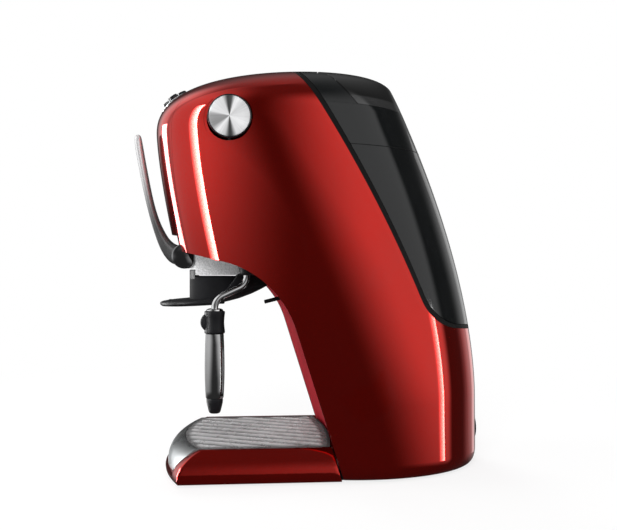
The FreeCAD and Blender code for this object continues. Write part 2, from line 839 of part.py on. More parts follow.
solid_feature("tank_collar", biggest(collar.fuse(collar_lugs).cut(pin_hole)))
turned("lid_hinge_pin", rectangle("0", "lid_pin_radius", "0", "2 * (lid_lug_from + 2 * lid_lug_wide + lid_lug_gap)"),
       "x", "-(lid_lug_from + 2 * lid_lug_wide + lid_lug_gap)", "lid_axis_rear", "lid_axis_height")

# tank valve, its socket and seal
floor_text = "(tank_corner_height - tank_floor_fall * (valve_rear - tank_corner_rear))"
flange_text = floor_text + " + tank_wall + tank_clear + 1.6"
turned("tank_valve", [
    ("0", "-spigot_length"),
    ("spigot_radius - 1", "-spigot_length"),
    ("spigot_radius", "1 - spigot_length"),
    ("spigot_radius", "0"),
    ("spigot_radius + 3", "0"),
    ("spigot_radius + 3", "2.5"),
    ("spigot_radius - 2", "4.5"),
    ("0", "4.5"),
], "z", "0", "valve_rear", flange_text)
socket_text = floor_text + " - liner_band - tank_floor_fall * socket_radius"
turned("tank_socket", [
    ("hose_radius", "-socket_depth - 1"),
    ("socket_radius", "-socket_depth - 1"),
    ("socket_radius", "0"),
    ("spigot_radius + 0.6", "0"),
    ("spigot_radius + 0.6", "-7"),
    ("spigot_radius + 2.5", "-7"),
    ("spigot_radius + 2.5", "-10"),
    ("spigot_radius + 0.6", "-10"),
    ("spigot_radius + 0.6", "-socket_depth + 2"),
    ("hose_radius", "-socket_depth + 2"),
], "z", "0", "valve_rear", socket_text)
turned("socket_seal", rectangle("spigot_radius + running_clear", "spigot_radius + 2.4", "-9.9", "-7.1"),
       "z", "0", "valve_rear", socket_text)

# brew block with the lever ears
brew_head = new_body("brew_head")
pad(brew_head, "top", "block_low", rectangle("-block_half", "block_half", "-block_front", "-block_rear"),
    "block_top - block_low")
for start in ("hub_half + 0.4", "-hub_half - 0.4 - ear_wide"):
    pad(brew_head, "side", start, rectangle("-hub_front", "0.5 - block_front",
                                            "hub_height - hub_radius", "hub_height + hub_radius"), "ear_wide")
    pad(brew_head, "side", start, ("-hub_front", "hub_height", "hub_radius"), "ear_wide")
pocket(brew_head, "side", "block_half + 2", ("-hub_front", "hub_height", "shaft_radius + running_clear"),
       "2 * block_half + 4")
pocket(brew_head, "top", "block_top", ("0", "-brew_axis", "piston_radius + running_clear"),
       "block_top - block_low")
pocket(brew_head, "side", "hub_half + 0.4", ("-hub_front", "hub_height", "hub_radius + 0.5"),
       "2 * hub_half + 0.8")

turned("brew_piston", [
    ("0", "0"),
    ("piston_radius - 3", "0"),
    ("piston_radius - 3", "2.5"),
    ("piston_radius", "2.5"),
    ("piston_radius", "piston_height"),
    ("piston_rod_radius", "piston_height"),
    ("piston_rod_radius", "piston_height + piston_rod_rise"),
    ("0", "piston_height + piston_rod_rise"),
], "z", "0", "-brew_axis", "piston_low")
turned("piston_seal", rectangle("piston_radius - 2.95", "piston_radius - 0.3", "0.2", "2.4"),
       "z", "0", "-brew_axis", "piston_low")
turned("lever_shaft", rectangle("0", "shaft_radius", "0", "2 * (hub_half + 0.4 + ear_wide)"),
       "x", "-(hub_half + 0.4 + ear_wide)", "-hub_front", "hub_height")

# lever: bowed handle that grows out of the hub and narrows toward the tip
hub = Vec(0, -S["hub_front"], S["hub_height"])


def lever_side(points):
    curve = Part.BSplineCurve()
    curve.interpolate([hub + Vec(0, -y, z) for y, z in points])
    return curve.toShape()


reach = S["lever_reach"]
rise = S["lever_rise"]
thick = S["lever_thick"]
outer_line = [(4, -S["hub_radius"] + 0.7), (13.5, -7), (20.5, 2.5), (26, 16), (34.7, 48.5), (reach, rise - 7)]
inner_line = [(reach - thick + 1.2, rise), (33.9, 76.5), (28.7, 48.5), (21.9, 28.1), (11.5, 11.5), (0, S["hub_radius"])]
cap_start = hub + Vec(0, -outer_line[-1][0], outer_line[-1][1])
cap_end = hub + Vec(0, -inner_line[0][0], inner_line[0][1])
cap_middle = hub + Vec(0, -reach + 1.2, rise - 1)
foot_start = hub + Vec(0, -inner_line[-1][0], inner_line[-1][1])
foot_end = hub + Vec(0, -outer_line[0][0], outer_line[0][1])
lever_wire = Part.Wire([
    lever_side(outer_line),
    Part.Arc(cap_start, cap_middle, cap_end).toShape(),
    lever_side(inner_line),
    Part.LineSegment(foot_start, foot_end).toShape(),
])
lever = Part.Face(lever_wire)
lever.translate(Vec(-S["hub_half"], 0, 0))
lever = lever.extrude(Vec(2 * S["hub_half"], 0, 0))
lever = lever.fuse(rod(S["hub_radius"], hub - side_way * S["hub_half"], hub + side_way * S["hub_half"]))
lever_top = S["hub_height"] + rise
tip = S["lever_tip_half"]
taper = []
for side in (1, -1):
    wide = S["hub_half"] * side
    outline = [
        Vec(wide * 4, -300, S["hub_height"] + 10),
        Vec(wide, -300, S["hub_height"] + 10),
        Vec(tip * side, -300, lever_top - tip),
        Vec(tip * 0.7 * side, -300, lever_top - tip * 0.3),
        Vec(0, -300, lever_top + 0.5),
        Vec(0, -300, lever_top + 60),
        Vec(wide * 4, -300, lever_top + 60),
    ]
    taper.append(Part.Face(Part.makePolygon(outline + outline[:1])).extrude(Vec(0, 300, 0)))
lever = lever.cut(taper)
shaft_hole = rod(S["shaft_radius"] + 0.02, hub - side_way * 60, hub + side_way * 60)
solid_feature("lever", biggest(lever.cut(shaft_hole)))

# capsule drawer: round front lip, capsule cup and a guide tongue underneath
drawer = new_body("capsule_drawer")
lip_top = "lip_low + lip_thick"
cup_low = lip_top + " + 1.2"
pad(drawer, "top", "lip_low", ("0", "-lip_axis", "lip_radius"), "lip_thick")
pocket(drawer, "top", lip_top + " + 1", rectangle("-lip_radius - 5", "lip_radius + 5", "-lip_axis", "lip_radius"),
       "lip_thick + 2")
pad(drawer, "top", cup_low + " - tongue_thick - 1.2",
    rectangle("-tongue_half", "tongue_half", "-lip_axis - 10", "-tongue_rear"), "tongue_thick + 1.2")
pad(drawer, "top", lip_top, rectangle("-cup_radius + 5", "cup_radius - 5", "-brew_axis - cup_radius + 6", "-lip_axis"),
    "1.2")
pad(drawer, "top", cup_low, ("0", "-brew_axis", "cup_radius"), "cup_top - (" + cup_low + ")")
pocket(drawer, "top", "cup_top", ("0", "-brew_axis", "cup_bore"), "cup_top - (" + cup_low + ") - cup_floor")
pocket(drawer, "top", "cup_top", ("0", "-brew_axis", "outlet_radius"), "cup_top - lip_low + 5")

# spout cover: fixed rear half of the round shelf, hung from the head
lip_high = S["lip_low"] + S["lip_thick"]
shelf_front = -S["lip_axis"] + S["slide_clear"]
cup_back = -S["brew_axis"] + S["cup_radius"] + 0.6
shelf_end = -S["tongue_rear"] + 2
shelf_outline = [
    (shelf_front, S["lip_low"] - 0.8),
    (shelf_front, lip_high + 0.8),
    (cup_back, lip_high + 0.8),
    (cup_back, 200),
    (shelf_end, 200),
    (shelf_end, S["lip_low"] + 15),
    (shelf_end - 12, S["lip_low"] + 7),
    (shelf_end - 26, S["lip_low"] + 1.5),
]
shelf_plan = rod(S["lip_radius"], Vec(0, -S["lip_axis"], 0), Vec(0, -S["lip_axis"], 300))
shelf_plan = shelf_plan.fuse(box(-S["block_half"], S["block_half"], shelf_front, shelf_end, 0, 300))
shelf = side_prism(shelf_outline, -100, 100).common(shelf_plan).common(bay(-S["seam_gap"]))
tongue_low = lip_high + 1.2 - S["tongue_thick"] - 1.2
clear = S["slide_clear"]
tongue_room = box(-S["tongue_half"] - clear, S["tongue_half"] + clear, -200, -S["tongue_rear"] + 0.6,
                  tongue_low - clear, lip_high + 1.2 + clear)
nozzle_spot = Vec(0, -S["brew_axis"] + 0.5, 0)
nozzle = rod(S["outlet_radius"] + 2, nozzle_spot + Vec(0, 0, S["lip_low"] - 5), nozzle_spot + Vec(0, 0, tongue_low - clear))
nozzle = nozzle.cut(box(-50, 50, -200, shelf_front, 0, 300))
nozzle_bore = rod(S["outlet_radius"], nozzle_spot, nozzle_spot + Vec(0, 0, 300))
cup_sweep = rod(S["cup_radius"] + 0.6, Vec(0, -S["brew_axis"], lip_high + 0.8), Vec(0, -S["brew_axis"], 300))
solid_feature("spout_cover", biggest(shelf.fuse(nozzle).cut([tongue_room, nozzle_bore, cup_sweep])))

# peg for a raised cup shelf
peg = rod(S["peg_radius"], peg_root - peg_way * 6, peg_root + peg_way * S["peg_length"])
solid_feature("shelf_peg", peg)

# steam knob, its bright face and the spindle
turned("steam_knob", [
    ("0", "knob_deep - knob_face_thick - 2.5"),
    ("spindle_radius + running_clear", "knob_deep - knob_face_thick - 2.5"),
    ("spindle_radius + running_clear", "0"),
    ("knob_radius", "0"),
    ("knob_radius", "knob_deep - 1"),
    ("knob_radius - 0.6", "knob_deep"),
    ("knob_face_radius + 0.1", "knob_deep"),
    ("knob_face_radius + 0.1", "knob_deep - knob_face_thick + 0.2"),
    ("0", "knob_deep - knob_face_thick + 0.2"),
], "x", "knob_seat", "-knob_axis_front", "knob_axis_height")
turned("knob_face", [
    ("0", "knob_deep - knob_face_thick + 0.3"),
    ("knob_face_radius", "knob_deep - knob_face_thick + 0.3"),
    ("knob_face_radius", "knob_deep"),
    ("knob_face_radius - 0.7", "knob_deep + 0.4"),
    ("0", "knob_deep + 0.4"),
], "x", "knob_seat", "-knob_axis_front", "knob_axis_height")
turned("valve_spindle", rectangle("0", "spindle_radius", "spindle_inner", "knob_seat + knob_deep - knob_face_thick - 2.6"),
       "x", "0", "-knob_axis_front", "knob_axis_height")
turned("steam_valve", [
    ("0", "valve_inner"),
    ("valve_radius - 3", "valve_inner"),
    ("valve_radius", "valve_inner + 3"),
    ("valve_radius", "dish_floor - dish_wall - 0.2"),
    ("spindle_radius + running_clear", "dish_floor - dish_wall - 0.2"),
    ("spindle_radius + running_clear", "spindle_inner - 0.5"),
    ("0", "spindle_inner - 0.5"),
], "x", "0", "-knob_axis_front", "knob_axis_height")

# steam wand: fixed swivel bush, bent pipe, grip, sleeve and tip
turned("steam_swivel", [
    ("pipe_radius + running_clear", "0"),
    ("swivel_radius - 1.5", "0"),
    ("swivel_radius", "1.5"),
    ("swivel_radius", "swivel_length"),
    ("pipe_radius + running_clear", "swivel_length"),
], "z", "swivel_side", "-swivel_front", "swivel_low")
swivel_top = S["swivel_low"] + S["swivel_length"]
pipe_points = [
    swivel_spot + Vec(0, 0, swivel_top + 7),
    swivel_spot + Vec(0, 0, S["wand_bend_height"] + 8),
    Vec(S["wand_side"], -S["wand_front"], S["wand_bend_height"] - 4),
    Vec(S["wand_side"], -S["wand_front"], S["pipe_low"]),
]
pipe = tube(pipe_points, S["pipe_radius"], S["wand_bend_round"])
collar_spot = swivel_spot + Vec(0, 0, swivel_top + 0.2)
pipe_collar = rod(S["pipe_radius"] + 2.2, collar_spot, collar_spot + Vec(0, 0, 2.5))
solid_feature("steam_pipe", biggest(pipe.fuse(pipe_collar)))

grip = new_body("frother_grip")
pad(grip, "top", "grip_low", ("wand_side", "-wand_front", "grip_radius"), "grip_length")
pad(grip, "side", "wand_side - 3", ("-wand_front - grip_radius - 1", "grip_low + grip_length * 0.5", "6"), "6")
pocket(grip, "top", "grip_low + grip_length + 1", ("wand_side", "-wand_front", "pipe_radius + running_clear"),
       "grip_length + 2")
turned("frother_sleeve", [
    ("pipe_radius + running_clear", "-0.2"),
    ("sleeve_radius", "-0.2"),
    ("sleeve_radius", "-0.2 - sleeve_length"),
    ("sleeve_bore", "-0.2 - sleeve_length"),
    ("sleeve_bore", "-0.2 - sleeve_neck"),
    ("pipe_radius + running_clear", "-0.2 - sleeve_neck"),
], "z", "wand_side", "-wand_front", "grip_low")
turned("frother_tip", [
    ("0.9", "0"),
    ("tip_end_radius", "0"),
    ("tip_top_radius", "tip_length * 0.7"),
    ("tip_top_radius", "tip_length"),
    ("sleeve_bore - 0.1", "tip_length"),
    ("sleeve_bore - 0.1", "tip_length + 4"),
    ("0.9", "tip_length + 4"),
], "z", "wand_side", "-wand_front", "grip_low - 0.3 - sleeve_length - tip_length")

# control plate and its four press buttons
button_spots = {
    "power_button": control_rise * S["button_step"],
    "steam_button": control_rise * -S["button_step"],
    "small_cup_button": side_way * -S["button_step"],
    "large_cup_button": side_way * S["button_step"],
}
plate_skin = form(-S["control_proud"]).cut(form(S["control_deep"]))
button_form = form(-S["button_proud"])
button_rods = []
for name in button_spots:
    button_rods.append(control_rod(S["button_radius"] + S["button_clear"], button_spots[name], -30, 30))
control_plate = control_rod(S["control_radius"], Vec(), -25, 25).common(plate_skin)
solid_feature("control_plate", biggest(control_plate.cut(button_rods)))
for name in button_spots:
    button = control_rod(S["button_radius"], button_spots[name], -S["button_deep"], 12)
    solid_feature(name, biggest(button.common(button_form)))
board_low = -S["board_drop"] - S["board_thick"]
button_board = control_rod(S["control_radius"] + 2, Vec(), board_low, -S["board_drop"])
post_spots = [control_rise * 11.5 + side_way * 7, control_rise * 11.5 - side_way * 7]
board_posts = []
for offset in post_spots:
    board_posts.append(control_rod(1.2, offset, -S["board_drop"] - 0.5, 25))
board_cap = form(S["control_deep"] + 0.2)
posts = [post.common(board_cap) for post in board_posts]
solid_feature("button_board", biggest(button_board.fuse(posts)))

# inner frame: foot, riser and the arm over the brew block
inner_frame = new_body("inner_frame")
plate_text = "foot_gap + plate_thick + 0.1"
riser_height = "block_top + 0.1 + frame_thick - (" + plate_text + ")"
pad(inner_frame, "top", plate_text,
    rectangle("-frame_half", "frame_half", "frame_rear", "frame_rear + frame_foot"), "frame_thick")
pad(inner_frame, "top", plate_text,
    rectangle("-frame_half", "frame_half", "frame_rear", "frame_rear + frame_thick"), riser_height)
pad(inner_frame, "top", "block_top + 0.1",
    rectangle("-arm_half", "arm_half", "-block_front", "frame_rear + frame_thick"), "frame_thick")
pocket(inner_frame, "top", "block_top + 0.1 + frame_thick + 1",
       ("0", "-brew_axis", "piston_rod_radius + 3"), "frame_thick + 2")

boiler_low = "block_top + 0.2 + frame_thick"
thermoblock = new_body("thermoblock")
pad(thermoblock, "top", boiler_low, rectangle("-boiler_half", "boiler_half", "-boiler_front", "boiler_rear"), "boiler_height")
pad(thermoblock, "top", boiler_low + " + boiler_height", ("15", "-boiler_front + 20", "6"), "5")

turned("pump", [
    ("0", "0"),
    ("pump_radius * 0.6", "0"),
    ("pump_radius * 0.6", "10"),
    ("pump_radius", "10"),
    ("pump_radius", "pump_length - 14"),
    ("pump_radius * 0.7", "pump_length - 14"),
    ("pump_radius * 0.7", "pump_length"),
    ("0", "pump_length"),
], "y", "-pump_side", "pump_front", "pump_height")
mounts = []
for start in ("pump_front + 14", "pump_front + pump_length - 18 - mount_thick"):
    saddle = new_body("pump_saddle")
    pad(saddle, "front", start + " + mount_thick",
        rectangle("-pump_side - pump_radius + 4", "-pump_side + pump_radius - 4", plate_text, "pump_height - 8"), "mount_thick")
    pocket(saddle, "front", start, ("-pump_side", "pump_height", "pump_radius + 0.15"), "mount_thick + 0.001")
    mounts.append(saddle)
mount_group = doc.addObject("Part::Compound", "pump_mounts")
mount_group.Links = mounts

control_board = new_body("control_board")
pad(control_board, "front", "frame_rear - 4", rectangle("-30", "30", "95", "165"), "board_thick")
pad(control_board, "front", "frame_rear - 0.1", ("-22", "102", "3"), "4.2")
pad(control_board, "front", "frame_rear - 0.1", ("22", "158", "3"), "4.2")
pad(control_board, "front", "frame_rear - 4 - board_thick", rectangle("-20", "-2", "115", "145"), "9")
turned("flow_meter", rectangle("0", "meter_radius", "0", "meter_length"),
       "y", "meter_side", "frame_rear + frame_thick + 0.1", "meter_height")

# hoses and tubes between the inner parts
socket_low = amount(socket_text) - S["socket_depth"] - 1
meter_y = S["frame_rear"] + S["frame_thick"] + 0.1 + S["meter_length"]
hose = S["hose_radius"]
solid_feature("suction_hose", tube([
    Vec(0, S["valve_rear"], socket_low - 0.1),
    Vec(0, S["valve_rear"], socket_low - 16),
    Vec(S["meter_side"], S["valve_rear"] - 40, socket_low - 16),
    Vec(S["meter_side"], meter_y + 12, S["meter_height"] - 20),
    Vec(S["meter_side"], meter_y + 12, S["meter_height"]),
    Vec(S["meter_side"], meter_y + 0.1, S["meter_height"]),
], hose, 5))
hose_y = S["frame_rear"] + S["frame_thick"] + hose + 2.5
pump_top = S["pump_height"] + S["pump_radius"]
boiler_mid = amount(boiler_low) + S["boiler_height"] / 2
solid_feature("pressure_hose", tube([
    Vec(-S["pump_side"], S["pump_front"] + 14, pump_top + 0.1),
    Vec(-S["pump_side"], S["pump_front"] + 14, pump_top + 14),
    Vec(-S["pump_side"], hose_y, pump_top + 34),
    Vec(-S["pump_side"], hose_y, boiler_mid),
    Vec(-S["pump_side"], S["boiler_rear"] + 0.1, boiler_mid),
], hose, 7))
pipe_r = S["tube_radius"]
boiler_top = amount(boiler_low) + S["boiler_height"]
valve_end = Vec(S["valve_inner"] - 0.1, -S["knob_axis_front"], S["knob_axis_height"])
solid_feature("steam_tube", tube([
    Vec(15, -S["boiler_front"] + 20, boiler_top + 5.1),
    Vec(15, -S["boiler_front"] + 20, boiler_top + 18),
    Vec(15, -S["knob_axis_front"], S["knob_axis_height"]),
    valve_end,
], pipe_r, 5))
valve_low = S["knob_axis_height"] - S["valve_radius"]
solid_feature("wand_tube", tube([
    Vec(S["swivel_side"], -S["knob_axis_front"], valve_low - 0.1),
    Vec(S["swivel_side"], -S["knob_axis_front"], valve_low - 20),
    swivel_spot + Vec(0, 0, swivel_top + 30),
    swivel_spot + Vec(0, 0, swivel_top + 7.1),
], pipe_r, 6))

# cord gland in the rear panel, and the screws under the base
turned("cord_gland", [
    ("0", "-gland_length"),
    ("gland_radius", "-gland_length"),
    ("gland_radius", "0.5"),
    ("gland_flange", "0.5"),
    ("gland_flange", "2.2"),
    ("gland_flange - 2", "3.4"),
    ("cord_hole_radius", "3.4"),
    ("cord_hole_radius", "-gland_length + 3"),
    ("0", "-gland_length + 3"),
], "y", "0", "base_rear", "gland_height")
screws = []
for spot in screw_spots:
    shank = Part.makeCylinder(S["screw_radius"], 6, Vec(spot.x, spot.y, S["foot_gap"] + 1))
    head = Part.makeCylinder(S["screw_head"], 1.1, Vec(spot.x, spot.y, S["foot_gap"] + 0.2))
    screws.append(biggest(shank.fuse(head)))
solid_feature("housing_screws", Part.makeCompound(screws))

doc.recompute()

NODES = [
    "right_side_shell", "left_side_shell", "front_panel", "rear_panel", "column_panel", "head_bottom_cover",
    "tank_bay_liner", "base_plate", "rubber_feet", "tray_base", "drip_tray", "drip_grille", "water_tank",
    "tank_collar", "tank_lid", "lid_hinge_pin", "tank_valve", "tank_socket", "socket_seal", "brew_head",
    "brew_piston", "piston_seal", "lever_shaft", "lever", "capsule_drawer", "spout_cover", "shelf_peg",
    "steam_knob", "knob_face", "valve_spindle", "steam_valve", "steam_swivel", "steam_pipe", "frother_grip",
    "frother_sleeve", "frother_tip", "control_plate", "power_button", "steam_button", "small_cup_button",
    "large_cup_button", "button_board", "inner_frame", "thermoblock", "pump", "pump_mounts", "control_board",
    "flow_meter", "suction_hose", "pressure_hose", "steam_tube", "wand_tube", "cord_gland", "housing_screws",
]
for entry in doc.Objects:
    if "Invalid" in entry.State or "Error" in entry.State:
        raise RuntimeError("%s did not build: %s" % (entry.Name, entry.State))
os.makedirs("parts", exist_ok=True)
for node in NODES:
    shape = doc.getObject(node).Shape
    if shape.isNull() or not shape.isValid():
        raise RuntimeError("%s has no valid shape" % node)
    shape.exportStep("parts/%s.step" % node)
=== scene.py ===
import json
import math

import bmesh
import bpy
from mathutils import Matrix, Vector

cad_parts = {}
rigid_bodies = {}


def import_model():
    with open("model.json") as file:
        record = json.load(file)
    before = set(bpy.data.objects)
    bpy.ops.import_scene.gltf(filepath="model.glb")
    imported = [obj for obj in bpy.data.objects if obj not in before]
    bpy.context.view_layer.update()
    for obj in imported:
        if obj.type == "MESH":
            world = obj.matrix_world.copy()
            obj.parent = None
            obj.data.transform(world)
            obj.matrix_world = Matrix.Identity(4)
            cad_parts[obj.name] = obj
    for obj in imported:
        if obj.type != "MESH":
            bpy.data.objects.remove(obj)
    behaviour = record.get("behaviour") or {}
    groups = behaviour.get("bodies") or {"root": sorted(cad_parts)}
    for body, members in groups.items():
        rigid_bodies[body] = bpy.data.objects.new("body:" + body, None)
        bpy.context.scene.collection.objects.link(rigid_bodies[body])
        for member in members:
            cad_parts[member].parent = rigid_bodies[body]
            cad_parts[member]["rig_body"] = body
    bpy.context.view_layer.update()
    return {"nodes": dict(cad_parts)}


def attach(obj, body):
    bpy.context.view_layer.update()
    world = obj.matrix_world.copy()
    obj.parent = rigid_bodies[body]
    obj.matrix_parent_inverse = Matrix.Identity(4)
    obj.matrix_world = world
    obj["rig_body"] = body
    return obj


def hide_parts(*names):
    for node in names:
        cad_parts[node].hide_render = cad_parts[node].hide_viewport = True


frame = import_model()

bl_info = {
    "name": "Pod coffee machine",
    "version": (1, 0, 0),
    "blender": (4, 5, 0),
    "location": "3D View > Sidebar > Coffee",
    "description": "Dresses the packed coffee machine with smooth shells, metal and smoked plastic",
    "category": "Object",
}

MM = 0.001

# housing form, the same lines as the solids
BODY_HALF = 86 * MM
HEAD_FRONT = 132.2 * MM
FRONT_LEAN = 69 * MM
BASE_REAR = 147.2 * MM
REAR_LEAN = 57.2 * MM
LEAN_START = 60 * MM
SHOULDER = 285 * MM
TOP = 333 * MM
CAP_HALF = 34 * MM
CAP_FRONT = 30 * MM
SIDE_ROUND = 36.5 * MM
REAR_ROUND = 10.5 * MM
REAR_ROUND_DEPTH = 22 * MM
FOOT_GAP = 1.5 * MM
EDGE_TUCK = 6 * MM
EDGE_HEIGHT = 12 * MM
WALL = 2.5 * MM
FRONT_POWER = 1.4
CROWN_POWER = 2.3
REAR_POWER = 1.7
FORM_SEGMENTS = 192
FOOT_ROWS = 8
CROWN_ROWS = 40
CROWN_FLAT = 0.02 * MM
SKIN_REACH = 0.12 * MM
SKIN_FACING = 0.6

# seams and openings of the housing
PANEL_LOW_HALF = 33 * MM
PANEL_LOW_HEIGHT = 182 * MM
PANEL_FLARE = 0.105
SHELL_MIDDLE = 1 * MM
PANEL_REAR = 40 * MM
REAR_PANEL_HALF = 45 * MM
REAR_PANEL_TOP = 125 * MM
REAR_PANEL_FRONT = 50 * MM
NOTCH_SIDE = 10 * MM
NOTCH_TOP = 198 * MM
NOTCH_REAR = 97.7 * MM
CONTROL_HEIGHT = 314 * MM
CONTROL_TILT = math.radians(36)
CONTROL_HOLE = 15.15 * MM
GLAND_HEIGHT = 28 * MM
GLAND_HOLE = 8.15 * MM
GLAND_PROUD = 0.4 * MM
GLAND_DRAWN = 0.85
BAY_SLOPE = math.radians(13)
BAY_CORNER_FRONT = 32.3 * MM
BAY_CORNER_HEIGHT = 164.2 * MM
COLUMN_FOOT = 19.9 * MM
COLUMN_ROWS = 60
BAY_ROUND = 80 * MM
COLUMN_HOLLOW = 6.5 * MM
BAY_SIDE = BODY_HALF + 9 * MM
LINING_WALL = 2.5 * MM
LINING_SPLIT = 156 * MM
LINING_PLAY = 0.15 * MM
PLATE_TOP = 4.5 * MM
DISH_RADIUS = 18.1 * MM
DISH_FLOOR = 70 * MM
DISH_LEAST = 1.2 * MM
KNOB_SPOT = Vector((0, -69 * MM, 288 * MM))
KNOB_SEAT = 71.6 * MM

# water tank
TANK_LINE_TOP = Vector((-10.4 * MM, 325 * MM))
TANK_LINE_MID = Vector((40 * MM, 244 * MM))
TANK_LINE_LOW = Vector((86.3 * MM, 151.4 * MM))
TANK_CORNER = Vector((98.2 * MM, 125 * MM))
TANK_CORNER_ROUND = 42 * MM
TANK_FLOOR_FALL = 0.12
TANK_WALL = 2.2 * MM
TANK_PLAY = 0.4 * MM
TANK_GROW_AHEAD = 0.72
TANK_GROW_DOWN = 0.85
LINER_BAND = 3.3 * MM
LID_SEAM = 301 * MM
FILL_LINE = 268 * MM
FILL_LINE_TALL = 0.55 * MM
FILL_LINE_PROUD = 0.1 * MM
LID_AXIS = Vector((9.3 * MM, 327.5 * MM))
LID_SEAM_RUN = 23.8 * MM
LID_ROOM = 0.4 * MM
LID_BARREL = 7.45 * MM
LID_BARREL_HALF = 61.2 * MM
SEAM_TOLERANCE = 0.05 * MM

# brew group, steam side and tray: places in metres, profiles in mm
HUB = Vector((0, -107 * MM, 179.5 * MM))
HUB_RADIUS = 10.3
HUB_HALF = 15.6
LIP_AXIS = 83 * MM
LIP_HEIGHT = 141.4 * MM
LIP_RADIUS = 46.5
LIP_TILT = math.radians(3.4)
BREW_AXIS = 78 * MM
WAND = Vector((58 * MM, -81 * MM, 0))
TAB_SPOT = WAND + Vector((0, -3.6 * MM, 126 * MM))
BUTTON_LIFT = 1.3 * MM
BUTTON_TOP = 0.2 * MM
RIB_SPOT = Vector((69 * MM, 22.4 * MM, 5.2 * MM))
RIB_SIZE = (19, 6.4, 7.4)
TONGUE_SPOT = Vector((0, -77 * MM, 146 * MM))
TONGUE_SIZE = (24, 30, 2.4)
STUD_SPOT = Vector((6 * MM, -121 * MM, 141.75 * MM))
GRILLE_HALF = 70.2
GRILLE_PLAY = 2.5
GRILLE_HEIGHT = 26.2 * MM
GRILLE_MIDDLE = -47 * MM
GRILLE_FRONT = -109.5
GRILLE_FRONT_BOW = 13.5
GRILLE_FRONT_PLAY = 2.6
GRILLE_REAR = 16.2
GRILLE_REAR_BOW = 5.7
GRILLE_RIM = 1.5 * MM
GRILLE_RIM_SLOPE = 5 * MM
RIPPLE_TURN = math.radians(27)
RIPPLE_PITCH = 13.7 * MM
RIPPLE_HEIGHT = 1.3 * MM
RIPPLE_START = 53.65 * MM
SLOT_HALF = 1.1 * MM
SLOT_MARGIN = 7.5 * MM


def colour_value(label, about, level):
    return bpy.props.FloatVectorProperty(
        name=label, description=about, subtype="COLOR", size=3, default=level)


def length_value(label, about, size):
    return bpy.props.FloatProperty(name=label, description=about, unit="LENGTH", default=size)


class FinishColours(bpy.types.PropertyGroup):
    """Colours of the finishes."""

    lacquer: colour_value("Lacquer", "Red of the housing", (0.62, 0.010, 0.003))
    lacquer_deep: colour_value("Deep lacquer", "Red in the depth of the lacquer", (0.58, 0.009, 0.002))
    smoke: colour_value("Smoke", "Tint of the tank", (0.007, 0.008, 0.0085))
    satin_black: colour_value("Satin black", "Moulded black parts", (0.007, 0.007, 0.008))
    silver: colour_value("Silver", "Painted silver of the drip tray", (0.55, 0.57, 0.58))


class ShellSizes(bpy.types.PropertyGroup):
    """Sizes of the shells' edges."""

    seam_gap: length_value("Seam gap", "Open line between two panels", 0.15 * MM)
    edge_round: length_value("Edge round", "Rounding of a panel's edge", 0.4 * MM)
    row_step: length_value("Row step", "Height of one row of the housing's faces", 2.5 * MM)


class StudioSizes(bpy.types.PropertyGroup):
    """Camera and light levels."""

    lens: bpy.props.FloatProperty(
        name="Lens", description="Focal length on a 36 mm sensor", default=49.6)
    eye_height: length_value("Eye height", "Height of the camera", 172 * MM)
    ambient: bpy.props.FloatProperty(
        name="Ambient", description="Level of the surrounding light", default=0.2)


# housing form

def quarter(share):
    """Quarter circle that falls from 1 to 0."""
    return math.sqrt(max(0.0, 1 - share * share))


def section(height):
    """Front, rear and half width of the housing form at a height."""
    height = min(max(height, FOOT_GAP), TOP)
    tuck = 0.0
    if height < FOOT_GAP + EDGE_HEIGHT:
        lean = 1 - (height - FOOT_GAP) / EDGE_HEIGHT
        tuck = EDGE_TUCK * (1 - quarter(lean))
    if height <= SHOULDER:
        front = -HEAD_FRONT + FRONT_LEAN * ((SHOULDER - height) / SHOULDER) ** FRONT_POWER
    else:
        share = (height - SHOULDER) / (TOP - SHOULDER)
        crown = max(0.0, 1 - share ** CROWN_POWER) ** (1 / CROWN_POWER)
        front = -CAP_FRONT - (HEAD_FRONT - CAP_FRONT) * crown
    share = max(0.0, height - LEAN_START) / (SHOULDER - LEAN_START)
    rear = BASE_REAR - REAR_LEAN * share ** REAR_POWER
    over = max(0.0, height - (TOP - REAR_ROUND)) / REAR_ROUND
    rear -= REAR_ROUND_DEPTH * (1 - quarter(over))
    over = max(0.0, height - (TOP - SIDE_ROUND)) / SIDE_ROUND
    half = CAP_HALF + (BODY_HALF - CAP_HALF) * quarter(over)
    return front + tuck, rear - tuck, half - tuck


def oval(height):
    """Middle, half depth and half width of the housing form at a height."""
    front, rear, half = section(height)
    return (front + rear) / 2, (rear - front) / 2, half


def form_share(x, y, z):
    """1 on the skin of the housing form, less inside it."""
    middle, reach, half = oval(z)
    return math.hypot(x / half, (y - middle) / reach)


def form_normal(point):
    """Outward direction of the housing form's skin."""
    if point.z > TOP - CROWN_FLAT:
        return Vector((0, 0, 1))
    middle, reach, half = oval(point.z)
    step = 0.01 * MM
    rise = form_share(point.x, point.y, point.z + step) - form_share(point.x, point.y, point.z - step)
    slope = Vector((point.x / half ** 2, (point.y - middle) / reach ** 2, rise / (2 * step)))
    return slope.normalized()


def form_levels(row_step):
    """Heights of the form's rows: close at the foot and the crown, even between them."""
    levels = []
    for row in range(FOOT_ROWS + 1):
        levels.append(FOOT_GAP + EDGE_HEIGHT * (1 - math.cos(math.pi / 2 * row / FOOT_ROWS)))
    start = levels[-1]
    rows = round((SHOULDER - start) / row_step)
    for row in range(1, rows + 1):
        levels.append(start + (SHOULDER - start) * row / rows)
    for row in range(1, CROWN_ROWS + 1):
        levels.append(SHOULDER + (TOP - SHOULDER) * math.sin(math.pi / 2 * row / CROWN_ROWS))
    return levels


def verts_in(made):
    return [part for part in made if isinstance(part, bmesh.types.BMVert)]


def edges_in(made):
    return [part for part in made if isinstance(part, bmesh.types.BMEdge)]


